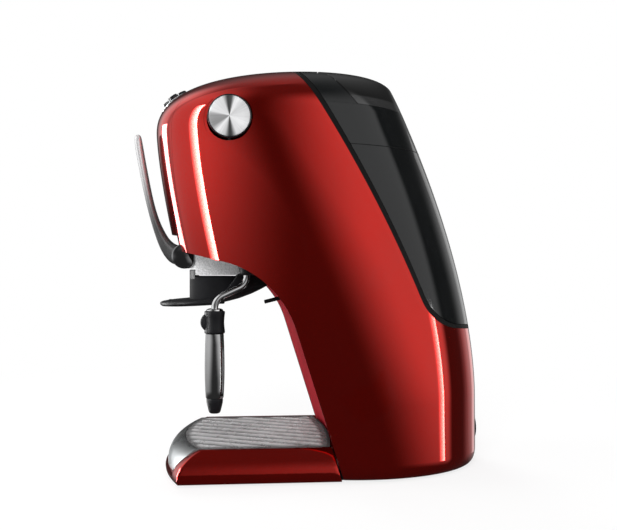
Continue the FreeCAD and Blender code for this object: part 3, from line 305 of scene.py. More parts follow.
def form_mesh(row_step):
    """Closed skin of the housing form: one ring drawn up through its levels."""
    bm = bmesh.new()
    levels = form_levels(row_step)
    bmesh.ops.create_circle(bm, cap_ends=False, radius=1, segments=FORM_SEGMENTS)
    edges = bm.edges[:]
    turns = {vert: math.atan2(vert.co.x, vert.co.y) for vert in bm.verts}
    set_ring(turns, levels[0])
    for below, level in zip(levels, levels[1:]):
        made = bmesh.ops.extrude_edge_only(bm, edges=edges)["geom"]
        fresh = set(verts_in(made))
        edges = [edge for edge in edges_in(made) if fresh.issuperset(edge.verts)]
        middle, reach, half = oval(below)
        turns = {vert: math.atan2(vert.co.x / half, (vert.co.y - middle) / reach) for vert in fresh}
        set_ring(turns, level)
    bmesh.ops.holes_fill(bm, edges=edges, sides=0)
    face_out(bm)
    mesh = bpy.data.meshes.new("housing_form")
    bm.to_mesh(mesh)
    bm.free()
    return mesh


def set_ring(turns, level):
    """Place one ring of the form at a level, each vertex at its own turn."""
    middle, reach, half = oval(level)
    for vert, turn in turns.items():
        vert.co = (half * math.sin(turn), middle + reach * math.cos(turn), level)


# seam lines: each function is positive on the side that is kept

def panel_half(height):
    return PANEL_LOW_HALF + PANEL_FLARE * (height - PANEL_LOW_HEIGHT)


def bay_corner(x):
    return Vector((-BAY_CORNER_FRONT + COLUMN_HOLLOW * (1 - (x / BAY_SIDE) ** 2), BAY_CORNER_HEIGHT))


BAY_AHEAD = Vector((-math.cos(BAY_SLOPE), math.sin(BAY_SLOPE)))
BAY_DOWN = Vector((COLUMN_FOOT + BAY_CORNER_FRONT, -BAY_CORNER_HEIGHT)).normalized()
BAY_UP = Vector((math.sin(BAY_SLOPE), math.cos(BAY_SLOPE)))
BAY_BACK = Vector((-BAY_DOWN.y, BAY_DOWN.x))
BAY_MIDDLE = (BAY_AHEAD + BAY_DOWN).normalized()
BAY_HALF_ANGLE = BAY_AHEAD.angle(BAY_DOWN) / 2


def outside_bay(point):
    """Distance from the cup bay into the housing."""
    spot = Vector((point.y, point.z)) - bay_corner(point.x)
    arm = spot - BAY_MIDDLE * (BAY_ROUND / math.sin(BAY_HALF_ANGLE))
    if arm.dot(BAY_AHEAD) < 0 and arm.dot(BAY_DOWN) < 0:
        return arm.length - BAY_ROUND
    return max(spot.dot(BAY_UP), spot.dot(BAY_BACK))


def circle_through(first, second, third):
    """Centre of the circle through three points."""
    a = second - first
    b = third - first
    d = 2 * (a.x * b.y - a.y * b.x)
    centre_x = (b.y * a.length_squared - a.y * b.length_squared) / d
    centre_y = (a.x * b.length_squared - b.x * a.length_squared) / d
    return first + Vector((centre_x, centre_y))


TANK_ARC = circle_through(TANK_LINE_TOP, TANK_LINE_MID, TANK_LINE_LOW)
TANK_ARC_RADIUS = (TANK_LINE_TOP - TANK_ARC).length
TANK_DOWN = (TANK_CORNER - TANK_LINE_LOW).normalized()
TANK_ALONG = Vector((1, -TANK_FLOOR_FALL)).normalized()
TANK_HALF_TURN = TANK_DOWN.angle(TANK_ALONG) / 2
TANK_ROUND_REACH = TANK_CORNER_ROUND / math.cos(TANK_HALF_TURN)


def inside_tank(point, grow):
    """Distance from the tank's front and floor line into the tank, the line moved out by grow."""
    spot = Vector((point.y + TANK_GROW_AHEAD * grow, point.z + TANK_GROW_DOWN * grow))
    if spot.y > TANK_LINE_TOP.y:
        way = (TANK_LINE_TOP - TANK_ARC).normalized()
        ahead = (spot - TANK_LINE_TOP).dot(way)
    elif spot.y > TANK_LINE_LOW.y:
        ahead = (spot - TANK_ARC).length - TANK_ARC_RADIUS
    else:
        ahead = (spot - TANK_LINE_LOW).dot(Vector((-TANK_DOWN.y, TANK_DOWN.x)))
    above = (spot - TANK_CORNER).dot(Vector((-TANK_ALONG.y, TANK_ALONG.x)))
    centre = TANK_CORNER + (TANK_ALONG - TANK_DOWN).normalized() * TANK_ROUND_REACH
    arm = spot - centre
    if arm.dot(TANK_DOWN) > 0 and arm.dot(TANK_ALONG) < 0:
        return TANK_CORNER_ROUND - arm.length
    return min(ahead, above)


def on_tank(point):
    return inside_tank(point, -TANK_PLAY)


SEAM_NORMAL = Vector((LID_AXIS.y - LID_SEAM, LID_SEAM_RUN)).normalized()


def on_lid(point, gap):
    """Lid side of the slanting seam, with the rolled edge that turns about the hinge."""
    arm = Vector((point.y, point.z)) - LID_AXIS
    behind = arm.dot(SEAM_NORMAL) - gap
    rolled = min(LID_BARREL - gap - arm.length, LID_BARREL_HALF - gap - abs(point.x))
    return max(behind, rolled)


def column_line(x, height):
    """Where the cup bay ends toward the rear at a height."""
    low, high = -0.2, 0.1
    for _ in range(40):
        middle = (low + high) / 2
        if outside_bay(Vector((x, middle, height))) > 0:
            high = middle
        else:
            low = middle
    return low


def control_axis():
    """Spot on the crown where the control cluster sits, and the way it faces."""
    spot = Vector((0, section(CONTROL_HEIGHT)[0], CONTROL_HEIGHT))
    return spot, Vector((0, -math.sin(CONTROL_TILT), math.cos(CONTROL_TILT)))


def on_panel(point, grow=0.0):
    """Inside the seam of the front panel, the seam moved out by grow."""
    return min(panel_half(point.z) + grow - abs(point.x), PANEL_REAR - point.y)


def on_rear_panel(point, grow=0.0):
    """Inside the seam of the rear panel, the seam moved out by grow."""
    beside = REAR_PANEL_HALF + grow - abs(point.x)
    return min(beside, REAR_PANEL_TOP + grow - point.z, point.y - REAR_PANEL_FRONT)


def off_notch(point):
    """Outside the notch that the lever's hub turns in."""
    return max(abs(point.x) - HUB_HALF * MM - NOTCH_SIDE, point.z - NOTCH_TOP, point.y + NOTCH_REAR)


def off_control(point):
    """Outside the round hole of the control cluster."""
    spot, way = control_axis()
    arm = point - spot
    return (arm - way * arm.dot(way)).length - CONTROL_HOLE


def off_gland(point):
    return math.hypot(point.x, point.z - GLAND_HEIGHT) - GLAND_HOLE


def off_dish(point):
    return math.hypot(point.y - KNOB_SPOT.y, point.z - KNOB_SPOT.z) - DISH_RADIUS


# mesh helpers

def trim(bm, side, snap=0.22):
    """Cut a sheet along side(point) = 0 and keep the positive part."""
    value = {vert: side(vert.co) for vert in bm.verts}
    for edge in bm.edges:
        first, last = edge.verts
        if value[first] * value[last] < 0:
            share = value[first] / (value[first] - value[last])
            if share < snap or share > 1 - snap:
                near = first if share < snap else last
                near.co = first.co.lerp(last.co, share)
                value[near] = 0.0
    for edge in bm.edges[:]:
        first, last = edge.verts
        if value[first] * value[last] < 0:
            share = value[first] / (value[first] - value[last])
            vert = bmesh.utils.edge_split(edge, first, share)[1]
            value[vert] = 0.0
    line = [vert for vert in bm.verts if value[vert] == 0.0]
    bmesh.ops.connect_verts(bm, verts=line)
    drop = [face for face in bm.faces if min(value[vert] for vert in face.verts) < 0]
    bmesh.ops.delete(bm, geom=drop, context="FACES")


def sheet_from(form, *sides):
    bm = bmesh.new()
    bm.from_mesh(form)
    for side in sides:
        trim(bm, side)
    return bm


def rim_on(bm, side):
    """Open edges of a sheet that lie on the line side(point) = 0."""
    return [edge for edge in bm.edges if edge.is_boundary
            and all(abs(side(vert.co)) < SEAM_TOLERANCE for vert in edge.verts)]


def close_across(bm):
    """Close a sheet with a wall that runs straight across from its right edge to its left one."""
    right = [edge for edge in rim_on(bm, on_tank) if edge.verts[0].co.x + edge.verts[1].co.x > 0]
    for vert in verts_in(bmesh.ops.extrude_edge_only(bm, edges=right)["geom"]):
        vert.co.x = -vert.co.x
    bmesh.ops.remove_doubles(bm, verts=bm.verts[:], dist=0.03 * MM)
    face_out(bm)


def face_out(bm):
    bmesh.ops.recalc_face_normals(bm, faces=bm.faces[:])


def move(bm, matrix):
    bmesh.ops.transform(bm, matrix=matrix, verts=bm.verts[:])


def face_toward(bm, way):
    """Turn a sheet's faces so that together they look along a direction."""
    for face in bm.faces:
        face.normal_update()
    if sum(face.normal.dot(way) for face in bm.faces) < 0:
        bmesh.ops.reverse_faces(bm, faces=bm.faces[:])


def new_piece(name, bm, modifiers=()):
    """Object at the origin from a bmesh, with its modifiers worked into the mesh."""
    mesh = bpy.data.meshes.new(name)
    bm.to_mesh(mesh)
    bm.free()
    piece = bpy.data.objects.new(name, mesh)
    bpy.context.scene.collection.objects.link(piece)
    for kind, settings in modifiers:
        modifier = piece.modifiers.new(kind.lower(), kind)
        for key, value in settings.items():
            setattr(modifier, key, value)
    if modifiers:
        graph = bpy.context.evaluated_depsgraph_get()
        piece.data = bpy.data.meshes.new_from_object(piece.evaluated_get(graph))
        piece.modifiers.clear()
        piece.data.name = name
    return piece


def thick(depth):
    return ("SOLIDIFY", {"thickness": depth, "offset": -1.0})


def rounded(width, segments=2, angle=45):
    return ("BEVEL", {"width": width, "segments": segments, "limit_method": "ANGLE",
                      "angle_limit": math.radians(angle), "profile": 0.5})


def subdivided(levels):
    return ("SUBSURF", {"levels": levels, "render_levels": levels})


def soften(piece, angle=38):
    """Smooth shading with sharp corners kept."""
    piece.data.shade_smooth()
    piece.data.set_sharp_from_angle(angle=math.radians(angle))
    return piece


def polish(piece):
    """Smooth shading that takes the exact direction of the housing form on its skin."""
    mesh = soften(piece).data
    skin = {}
    for vert in mesh.vertices:
        on_crown = vert.co.z >= TOP - CROWN_FLAT
        if on_crown or abs(form_share(*vert.co) - 1) * BODY_HALF < SKIN_REACH:
            skin[vert.index] = form_normal(vert.co)
    normals = [corner.vector.copy() for corner in mesh.corner_normals]
    for face in mesh.polygons:
        for corner in face.loop_indices:
            normal = skin.get(mesh.loops[corner].vertex_index)
            if normal is not None and face.normal.dot(normal) > SKIN_FACING:
                normals[corner] = normal
    mesh.normals_split_custom_set(normals)
    return piece


def seat(piece, body, slot, look, *nodes):
    """Give a piece its finish, let it ride on its body and stand for its nodes."""
    piece.data.materials.clear()
    piece.data.materials.append(finish_named(look))
    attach(piece, body)
    if nodes:
        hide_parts(*nodes)
    return piece


def skin_piece(name, bm, modifiers, body, slot, look, *nodes):
    return seat(polish(new_piece(name, bm, modifiers)), body, slot, look, *nodes)


def satin_piece(name, bm, body, angle, modifiers=(), nodes=()):
    """Moulded black piece."""
    return seat(soften(new_piece(name, bm, modifiers), angle), body, "black_satin", "black_satin", *nodes)


COPY_WELD = 0.004 * MM
COPY_FLAT = math.radians(0.6)
COPY_CORNER = math.radians(40)


def dressed_copy(name, node, slot, look, edge=0.0):
    """Smooth copy of a node, with its corners rounded where edge is given."""
    bm = bmesh.new()
    bm.from_mesh(frame["nodes"][node].data)
    bmesh.ops.remove_doubles(bm, verts=bm.verts[:], dist=COPY_WELD)
    if edge > 0:
        bmesh.ops.dissolve_limit(bm, angle_limit=COPY_FLAT, use_dissolve_boundaries=False,
                                 verts=bm.verts[:], edges=bm.edges[:], delimit=set())
        corners = [e for e in bm.edges if e.is_manifold and e.calc_face_angle(0.0) > COPY_CORNER]
        bmesh.ops.bevel(bm, geom=corners, offset=edge, offset_type="OFFSET", segments=2, profile=0.5,
                        affect="EDGES", clamp_overlap=True, material=-1)
    piece = soften(new_piece(name, bm), 32)
    return seat(piece, frame["nodes"][node]["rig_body"], slot, look, node)


def turned_mesh(profile, start=0.0, sweep=2 * math.pi, segments=64):
    """Sheet of a (radius, height) profile in mm, spun about the Z axis."""
    bm = bmesh.new()
    verts = [bm.verts.new((radius * MM, 0, height * MM)) for radius, height in profile]
    for first, last in zip(verts, verts[1:]):
        bm.edges.new((first, last))
    bmesh.ops.rotate(bm, verts=bm.verts[:], cent=(0, 0, 0), matrix=Matrix.Rotation(start, 3, "Z"))
    bmesh.ops.spin(bm, geom=bm.verts[:] + bm.edges[:], axis=(0, 0, 1), cent=(0, 0, 0), angle=sweep,
                   steps=segments, use_merge=sweep == 2 * math.pi)
    bmesh.ops.remove_doubles(bm, verts=bm.verts[:], dist=0.001 * MM)
    face_out(bm)
    return bm


def turned_piece(name, profile, centre, axis, segments, crease, *seating):
    """Round piece: a (radius, height) profile in mm, spun about an axis through centre."""
    bm = turned_mesh(profile, segments=segments)
    turn = {"x": Matrix.Rotation(math.pi / 2, 4, "Y"), "z": Matrix.Identity(4)}[axis]
    move(bm, Matrix.Translation(centre) @ turn)
    return seat(soften(new_piece(name, bm), crease), *seating)


def on_side(spot, side):
    """A spot of the right side, or its mirror image on the left where side is -1."""
    return Vector((side * spot.x, spot.y, spot.z))


def add_block(bm, middle, size):
    """Box about a middle in metres, its size in mm."""
    place = Matrix.Translation(middle) @ Matrix.Diagonal((*[length * MM for length in size], 1))
    bmesh.ops.create_cube(bm, size=1, matrix=place)


def add_pin(bm, place, low, high, depth, segments):
    """Round pin along the Z axis of a place, its radii and depth in mm."""
    bmesh.ops.create_cone(bm, cap_ends=True, segments=segments, radius1=low * MM, radius2=high * MM,
                          depth=depth * MM, matrix=place)


def curve_at(points, spot):
    """Value at a spot on the line through rising (spot, value) pairs."""
    for (x0, y0), (x1, y1) in zip(points, points[1:]):
        if spot <= x1:
            share = max(0.0, (spot - x0) / (x1 - x0))
            return y0 + (y1 - y0) * share
    return points[-1][1]


# finishes

def add_node(tree, kind, inputs=None, **settings):
    """New shader node. Each input takes a plain value or the socket that feeds it."""
    node = tree.nodes.new("ShaderNode" + kind)
    for key, value in settings.items():
        setattr(node, key, value)
    for spot, value in (inputs or {}).items():
        if isinstance(value, bpy.types.NodeSocket):
            tree.links.new(value, node.inputs[spot])
        else:
            node.inputs[spot].default_value = value
    return node


def math_node(tree, operation, *values):
    return add_node(tree, "Math", dict(enumerate(values)), operation=operation).outputs[0]


def node_group(name, inputs, outputs):
    group = bpy.data.node_groups.new(name, "ShaderNodeTree")
    for label, value in inputs:
        kind = "NodeSocketVector" if value is None else "NodeSocketFloat"
        made = group.interface.new_socket(label, in_out="INPUT", socket_type=kind)
        if value is not None:
            made.default_value = value
    for label in outputs:
        group.interface.new_socket(label, in_out="OUTPUT", socket_type="NodeSocketFloat")
    return group, group.nodes.new("NodeGroupInput").outputs, group.nodes.new("NodeGroupOutput").inputs


def handling_group():
    """Faint smudges and fine specks that any handled surface has."""
    inputs = (("Vector", None), ("Smudge Scale", 30.0), ("Speck Scale", 900.0))
    group, start, end = node_group("handling_marks", inputs, ("Smudge", "Speck"))
    for mark, detail in (("Smudge", 3.0), ("Speck", 2.0)):
        values = {"Vector": start["Vector"], "Scale": start[mark + " Scale"], "Detail": detail}
        group.links.new(add_node(group, "TexNoise", values).outputs["Fac"], end[mark])
    return group


def spun_group():
    """Rings and rays of a face turned about the X axis through the origin of its vector."""
    inputs = (("Vector", None), ("Ring Scale", 9000.0), ("Ray Scale", 14.0))
    group, start, end = node_group("spun_face", inputs, ("Ring", "Ray", "Turn"))
    split = add_node(group, "SeparateXYZ", {0: start["Vector"]}).outputs
    turn = math_node(group, "ARCTAN2", split["Y"], split["Z"])
    flat = add_node(group, "VectorMath", {0: start["Vector"], 1: (0, 1, 1)}, operation="MULTIPLY").outputs[0]
    length = add_node(group, "VectorMath", {0: flat}, operation="LENGTH").outputs["Value"]
    for mark, along, detail in (("Ring", length, 2.0), ("Ray", turn, 3.0)):
        values = {"W": along, "Scale": start[mark + " Scale"], "Detail": detail}
        noise = add_node(group, "TexNoise", values, noise_dimensions="1D")
        group.links.new(noise.outputs["Fac"], end[mark])
    group.links.new(math_node(group, "MULTIPLY_ADD", turn, 0.5 / math.pi, 0.5), end["Turn"])
    return group


GROUPS = {}


def shared_group(name):
    if name not in GROUPS:
        GROUPS[name] = {"handling": handling_group, "spun": spun_group}[name]()
    return GROUPS[name]


def ranged(tree, value, low, high):
    """Spread a noise value between two levels."""
    spread = {"Value": value, "From Min": 0.3, "From Max": 0.7, "To Min": low, "To Max": high}
    return add_node(tree, "MapRange", spread).outputs["Result"]


def soft(tree, value, start, stop, low=0.0):
    """Smooth rise from low to 1 while a value goes from start to stop."""
    spread = {"Value": value, "From Min": start, "From Max": stop, "To Min": low}
    return add_node(tree, "MapRange", spread, interpolation_type="SMOOTHSTEP").outputs["Result"]


def blended(tree, share, first, second, blend="MIX"):
    """Two colours, plain or from a socket, laid over each other by a share."""
    inputs = {"Factor": share}
    for spot, colour in (("A", first), ("B", second)):
        inputs[spot] = colour if isinstance(colour, bpy.types.NodeSocket) else (*colour, 1)
    return add_node(tree, "Mix", inputs, data_type="RGBA", blend_type=blend).outputs["Result"]


def bumped(tree, height, strength, depth):
    """Fine relief, its depth in mm."""
    values = {"Strength": strength, "Distance": depth * MM, "Height": height}
    return add_node(tree, "Bump", values).outputs["Normal"]


def new_material(name):
    """Material with its tree, its shader and its Object coordinates."""
    material = bpy.data.materials.new(name)
    material.use_nodes = True
    tree = material.node_tree
    return material, tree, tree.nodes["Principled BSDF"], add_node(tree, "TexCoord").outputs["Object"]


def finish(name, dark, light, rough, smudge, speck, bump, depth, metallic=0.0, **fixed):
    """Material with smudged colour and gloss and a fine grain. fixed holds plain socket values."""
    material, tree, shader, place = new_material(name)
    values = {"Vector": place, "Smudge Scale": smudge, "Speck Scale": speck}
    marks = add_node(tree, "Group", values, node_tree=shared_group("handling")).outputs
    share = ranged(tree, marks["Smudge"], 0.0, 1.0)
    tree.links.new(blended(tree, share, dark, light), shader.inputs["Base Color"])
    tree.links.new(ranged(tree, marks["Smudge"], *rough), shader.inputs["Roughness"])
    if bump > 0:
        tree.links.new(bumped(tree, marks["Speck"], bump, depth), shader.inputs["Normal"])
    shader.inputs["Metallic"].default_value = metallic
    for socket, value in fixed.items():
        shader.inputs[socket.replace("_", " ")].default_value = value
    return name, material


def painted_height_tone(material, low, high, dark):
    """Darken a finish toward one of two heights in mm, painted into its colour; the table of height tones
    says what each stands for.
    """
    tree = material.node_tree
    base = tree.nodes["Principled BSDF"].inputs["Base Color"]
    place = add_node(tree, "TexCoord").outputs["Object"]
    height = add_node(tree, "SeparateXYZ", {0: place}).outputs["Z"]
    level = soft(tree, height, low * MM, high * MM, dark)
    tree.links.new(blended(tree, 1.0, base.links[0].from_socket, level, "MULTIPLY"), base)


def grey(level):
    return (level, level, level * 1.01)


def times(colour, share):
    return tuple(level * share for level in colour)


# painted reflection round the spun face: bright and dark sectors of the studio painted into its colour, as
# turn and level
PAINTED_REFLECTION_SECTORS = (
    (0.0, 0.05), (0.05, 0.70), (0.10, 0.90), (0.17, 0.26), (0.25, 0.28), (0.31, 0.80), (0.43, 0.75),
    (0.485, 0.05), (0.515, 0.07), (0.56, 0.90), (0.64, 0.65), (0.75, 0.70), (0.84, 0.88), (0.93, 0.80),
    (0.985, 0.05), (1.0, 0.05),
)


def spun_finish(name, centre):
    """Bright face brushed in rings about a centre on the X axis, with a painted reflection of the studio in
    sectors round it.
    """
    material, tree, shader, place = new_material(name)
    moved = add_node(tree, "Mapping", {"Vector": place, "Location": -centre}).outputs["Vector"]
    spun = add_node(tree, "Group", {"Vector": moved}, node_tree=shared_group("spun")).outputs
    # painted reflection: brightness of the studio's sectors painted round the face
    painted_fan = add_node(tree, "ValToRGB", {"Fac": spun["Turn"]})
    painted_fan.color_ramp.interpolation = "EASE"
    stops = painted_fan.color_ramp.elements
    while len(stops) < len(PAINTED_REFLECTION_SECTORS):
        stops.new(0.5)
    for stop, (turn, level) in zip(stops, PAINTED_REFLECTION_SECTORS):
        stop.position = turn
        stop.color = (*grey(level), 1)
    streaks = ranged(tree, spun["Ray"], 0.0, 1.0)
    lines = blended(tree, streaks, (0.55, 0.55, 0.56), (1.0, 1.0, 1.0))
    linked = {
        "Base Color": blended(tree, 0.35, painted_fan.outputs["Color"], lines, "MULTIPLY"),
        "Roughness": ranged(tree, spun["Ring"], 0.44, 0.56),
        "Normal": bumped(tree, spun["Ring"], 0.12, 0.02),
        "Tangent": add_node(tree, "Tangent", direction_type="RADIAL", axis="X").outputs["Tangent"],
    }
    for socket, source in linked.items():
        tree.links.new(source, shader.inputs[socket])
    for socket, value in (("Metallic", 0.35), ("Anisotropic", 0.85), ("Anisotropic Rotation", 0.25)):
        shader.inputs[socket].default_value = value
    return name, material


# finishes darkened with height, painted into their colour: two heights in mm and the level at the first
PAINTED_HEIGHT_TONES = (
    ("lid_gloss", 309.5, 307.5, 0.12),
    # lever chrome darker low down: painted reflection of the dark floor and surroundings
    ("lever_chrome", 200, 268, 0.16),
    # tray front darker at its top: painted shade under the head
    ("tray_silver", 27, 9, 0.28),
    # grille darker in its valleys: painted shade in the hollows
    ("grille_steel", 26.0, 27.5, 0.30),
)


def make_finishes(colours):
    """Every finish of the machine, by name."""
    lacquer = tuple(colours.lacquer)
    deep = tuple(colours.lacquer_deep)
    smoke = tuple(colours.smoke)
    black = tuple(colours.satin_black)
    silver = tuple(colours.silver)
    made = dict((
        finish("red_lacquer", deep, lacquer, (0.015, 0.03), 14, 700, 0.0, 0.02, 0.95,
               Specular_IOR_Level=0.1, Coat_Weight=0.32, Coat_Roughness=0.015, Coat_IOR=1.5),
        finish("black_gloss", black, times(black, 1.5), (0.08, 0.14), 40, 1200, 0.02, 0.02,
               Coat_Weight=0.6, Coat_Roughness=0.03),
        finish("lid_gloss", grey(0.022), grey(0.026), (0.08, 0.14), 40, 1200, 0.02, 0.02,
               Coat_Weight=0.5, Coat_Roughness=0.03),
        finish("black_satin", black, times(black, 1.5), (0.40, 0.50), 60, 2600, 0.12, 0.04,
               Specular_IOR_Level=0.25),
        finish("smoked_clear", times(smoke, 0.8), smoke, (0.05, 0.08), 20, 900, 0.0, 0.02,
               Transmission_Weight=0.35, IOR=1.5),
        finish("polished_chrome", grey(0.80), grey(0.90), (0.03, 0.09), 45, 1500, 0.01, 0.01, 1.0),
        finish("cast_silver", grey(0.62), grey(1.0), (0.30, 0.46), 900, 1300, 0.9, 0.12, 0.25),
        finish("sleeve_steel", grey(0.42), grey(0.50), (0.08, 0.15), 45, 1500, 0.01, 0.01, 1.0),
        finish("lever_chrome", grey(0.80), grey(0.92), (0.10, 0.15), 45, 1500, 0.01, 0.01, 0.6),
        finish("dark_chrome", grey(0.32), grey(0.38), (0.04, 0.09), 45, 1500, 0.01, 0.01, 1.0),
        finish("red_satin", (0.36, 0.012, 0.022), (0.44, 0.015, 0.026), (0.42, 0.52), 30, 1800, 0.05, 0.02,
               Specular_IOR_Level=0.08),
        finish("black_seal", grey(0.003), grey(0.006), (0.5, 0.62), 60, 2200, 0.1, 0.03,
               Specular_IOR_Level=0.15),
        finish("tray_silver", times(silver, 1.2), times(silver, 1.4), (0.26, 0.34), 60, 3000, 0.04, 0.02,
               0.75, Coat_Weight=0.3, Coat_Roughness=0.1),
        finish("silver_paint", times(silver, 0.86), silver, (0.28, 0.36), 60, 3000, 0.04, 0.02, 0.75,
               Coat_Weight=0.3, Coat_Roughness=0.1),
        finish("grille_steel", grey(0.84), grey(0.98), (0.24, 0.32), 60, 2500, 0.03, 0.02, 0.55),
        finish("plain_steel", grey(0.45), grey(0.6), (0.25, 0.4), 200, 2500, 0.06, 0.02, 1.0),
        finish("soft_rubber", grey(0.012), grey(0.02), (0.62, 0.78), 90, 2200, 0.2, 0.05),
        finish("inner_plastic", (0.62, 0.62, 0.58), (0.72, 0.72, 0.69), (0.4, 0.52), 80, 1800, 0.1, 0.04),
        finish("brass_valve", (0.55, 0.38, 0.14), (0.72, 0.53, 0.22), (0.25, 0.4), 150, 2000, 0.1, 0.03,
               1.0),
        finish("boiler_alloy", grey(0.4), grey(0.56), (0.42, 0.56), 400, 1800, 0.3, 0.08, 1.0),
        finish("pump_case", grey(0.08), grey(0.12), (0.4, 0.55), 80, 1800, 0.1, 0.04),
        finish("circuit_board", (0.01, 0.11, 0.035), (0.02, 0.19, 0.06), (0.3, 0.45), 300, 1500, 0.08, 0.04),
        spun_finish("spun_aluminium", KNOB_SPOT),
    ))
    # paint the listed height tones into the finishes' colour
    for name, low, high, dark in PAINTED_HEIGHT_TONES:
        painted_height_tone(made[name], low, high, dark)
    return made


FINISHES = {}


def finish_named(name):
    if not FINISHES:
        FINISHES.update(make_finishes(bpy.context.scene.coffee_colours))
    return FINISHES[name]


# operators

class COFFEE_OT_red_shells(bpy.types.Operator):
    """Side shells, front panel and rear panel of the housing"""

    bl_idname = "coffee.red_shells"
    bl_label = "Red shells"

    def execute(self, context):
        sizes = context.scene.coffee_shells
        gap = sizes.seam_gap
        form = form_mesh(sizes.row_step)
        edge = (thick(WALL), rounded(sizes.edge_round))

        def off_tank(point):
            return -inside_tank(point, LINER_BAND + gap)

        for name, side in (("right_side_shell", 1), ("left_side_shell", -1)):
            bm = sheet_from(form, lambda p: side * p.x - SHELL_MIDDLE, outside_bay, off_tank,
                            lambda p: -on_rear_panel(p, gap), lambda p: -on_panel(p, gap))
            if side == 1:
                self.sink_dish(bm)
            skin_piece(name + "_skin", bm, edge, "machine", "red_lacquer", "red_lacquer", name)
        bm = sheet_from(form, on_panel, outside_bay, off_tank, off_notch, off_control)
        skin_piece("front_panel_skin", bm, edge, "machine", "red_lacquer", "red_lacquer", "front_panel")
        bm = sheet_from(form, on_rear_panel, off_tank, off_gland)
        skin_piece("rear_panel_skin", bm, edge, "machine", "dark_red_rear", "red_lacquer", "rear_panel")
        return {"FINISHED"}

    def sink_dish(self, bm):
        """Round well for the knob, drawn in from the shell's skin to a flat floor."""
        trim(bm, off_dish)
        made = bmesh.ops.extrude_edge_only(bm, edges=rim_on(bm, off_dish))["geom"]
        fresh = set(verts_in(made))
        for vert in fresh:
            vert.co.x = min(DISH_FLOOR, vert.co.x - DISH_LEAST)
        ring = [edge for edge in edges_in(made) if fresh.issuperset(edge.verts)]
        bmesh.ops.holes_fill(bm, edges=ring, sides=0)
        face_out(bm)


class COFFEE_OT_column(bpy.types.Operator):
    """Hollowed front of the column, inside the cup bay"""

    bl_idname = "coffee.column"
    bl_label = "Column front"

    def execute(self, context):
        bm = bmesh.new()
        bmesh.ops.create_grid(bm, x_segments=COLUMN_ROWS, y_segments=COLUMN_ROWS, size=1)
        for vert in bm.verts:
            row = round((vert.co.y + 1) / 2 * COLUMN_ROWS)
            x = vert.co.x * BODY_HALF
            level = PLATE_TOP + (LINING_SPLIT - PLATE_TOP) * row / COLUMN_ROWS
            vert.co = (x, column_line(x, level), level)
        trim(bm, lambda p: (1 - form_share(*p)) * BODY_HALF - WALL - LINING_PLAY)
        face_toward(bm, Vector((0, -1, 0)))
        piece = soften(new_piece("column_front", bm, (thick(LINING_WALL), rounded(0.3 * MM))))
        seat(piece, "machine", "red_lacquer", "red_satin", "column_panel")
        piece.visible_glossy = False
        return {"FINISHED"}


# hinge lugs: name, body, slot, distance from the middle and height of the post in mm
LUGS = (
    ("lid_lugs", "lid", "black_gloss", 17, 4.4),
    ("collar_lugs", "tank", "smoked_clear", 23.5, -18),
)


class COFFEE_OT_tank(bpy.types.Operator):
    """Water tank, its collar and lid, and the dark band round them"""

    bl_idname = "coffee.tank"
    bl_label = "Water tank"

    def execute(self, context):
        sizes = context.scene.coffee_shells
        form = form_mesh(sizes.row_step)
        gap = sizes.seam_gap
        wall = (thick(TANK_WALL), rounded(0.35 * MM))
        collar = (thick(TANK_WALL), rounded(0.3 * MM))
        bm = sheet_from(form, on_tank, lambda p: LID_SEAM - p.z)
        close_across(bm)
        skin_piece("tank_body", bm, wall, "tank", "smoked_clear", "smoked_clear", "water_tank")
        bm = sheet_from(form, on_tank, lambda p: p.z - LID_SEAM - gap, lambda p: -on_lid(p, -gap))
        close_across(bm)
        skin_piece("collar_skin", bm, collar, "tank", "smoked_clear", "smoked_clear", "tank_collar")
        bm = sheet_from(form, on_tank, lambda p: p.z - LID_SEAM - 2 * gap,
                        lambda p: on_lid(p, gap + LID_ROOM))
        skin_piece("lid_skin", bm, wall, "lid", "black_gloss", "lid_gloss", "tank_lid")
        self.lugs()
        bm = sheet_from(form, on_tank, lambda p: p.z - FILL_LINE, lambda p: FILL_LINE + FILL_LINE_TALL - p.z)
        for vert in bm.verts:
            vert.co += form_normal(vert.co) * FILL_LINE_PROUD
        skin_piece("fill_line", bm, (thick(0.3 * MM),), "tank", "black_gloss", "black_seal")
        dressed_copy("liner_band", "tank_bay_liner", "black_gloss", "black_seal")
        return {"FINISHED"}

    def lugs(self):
        """Hinge lugs of the lid, and those of the collar on their posts."""
        for name, body, slot, aside, tall in LUGS:
            bm = bmesh.new()
            for side in (-1, 1):
                middle = on_side(Vector((aside * MM, *LID_AXIS)), side)
                place = Matrix.Translation(middle) @ Matrix.Rotation(math.pi / 2, 4, "Y")
                add_pin(bm, place, 3, 3, 6, 32)
                add_block(bm, middle + Vector((0, 0, tall * MM / 2)), (6, 5.2, abs(tall)))
            seat(soften(new_piece(name, bm, (rounded(0.25 * MM),)), 30), body, slot, slot)


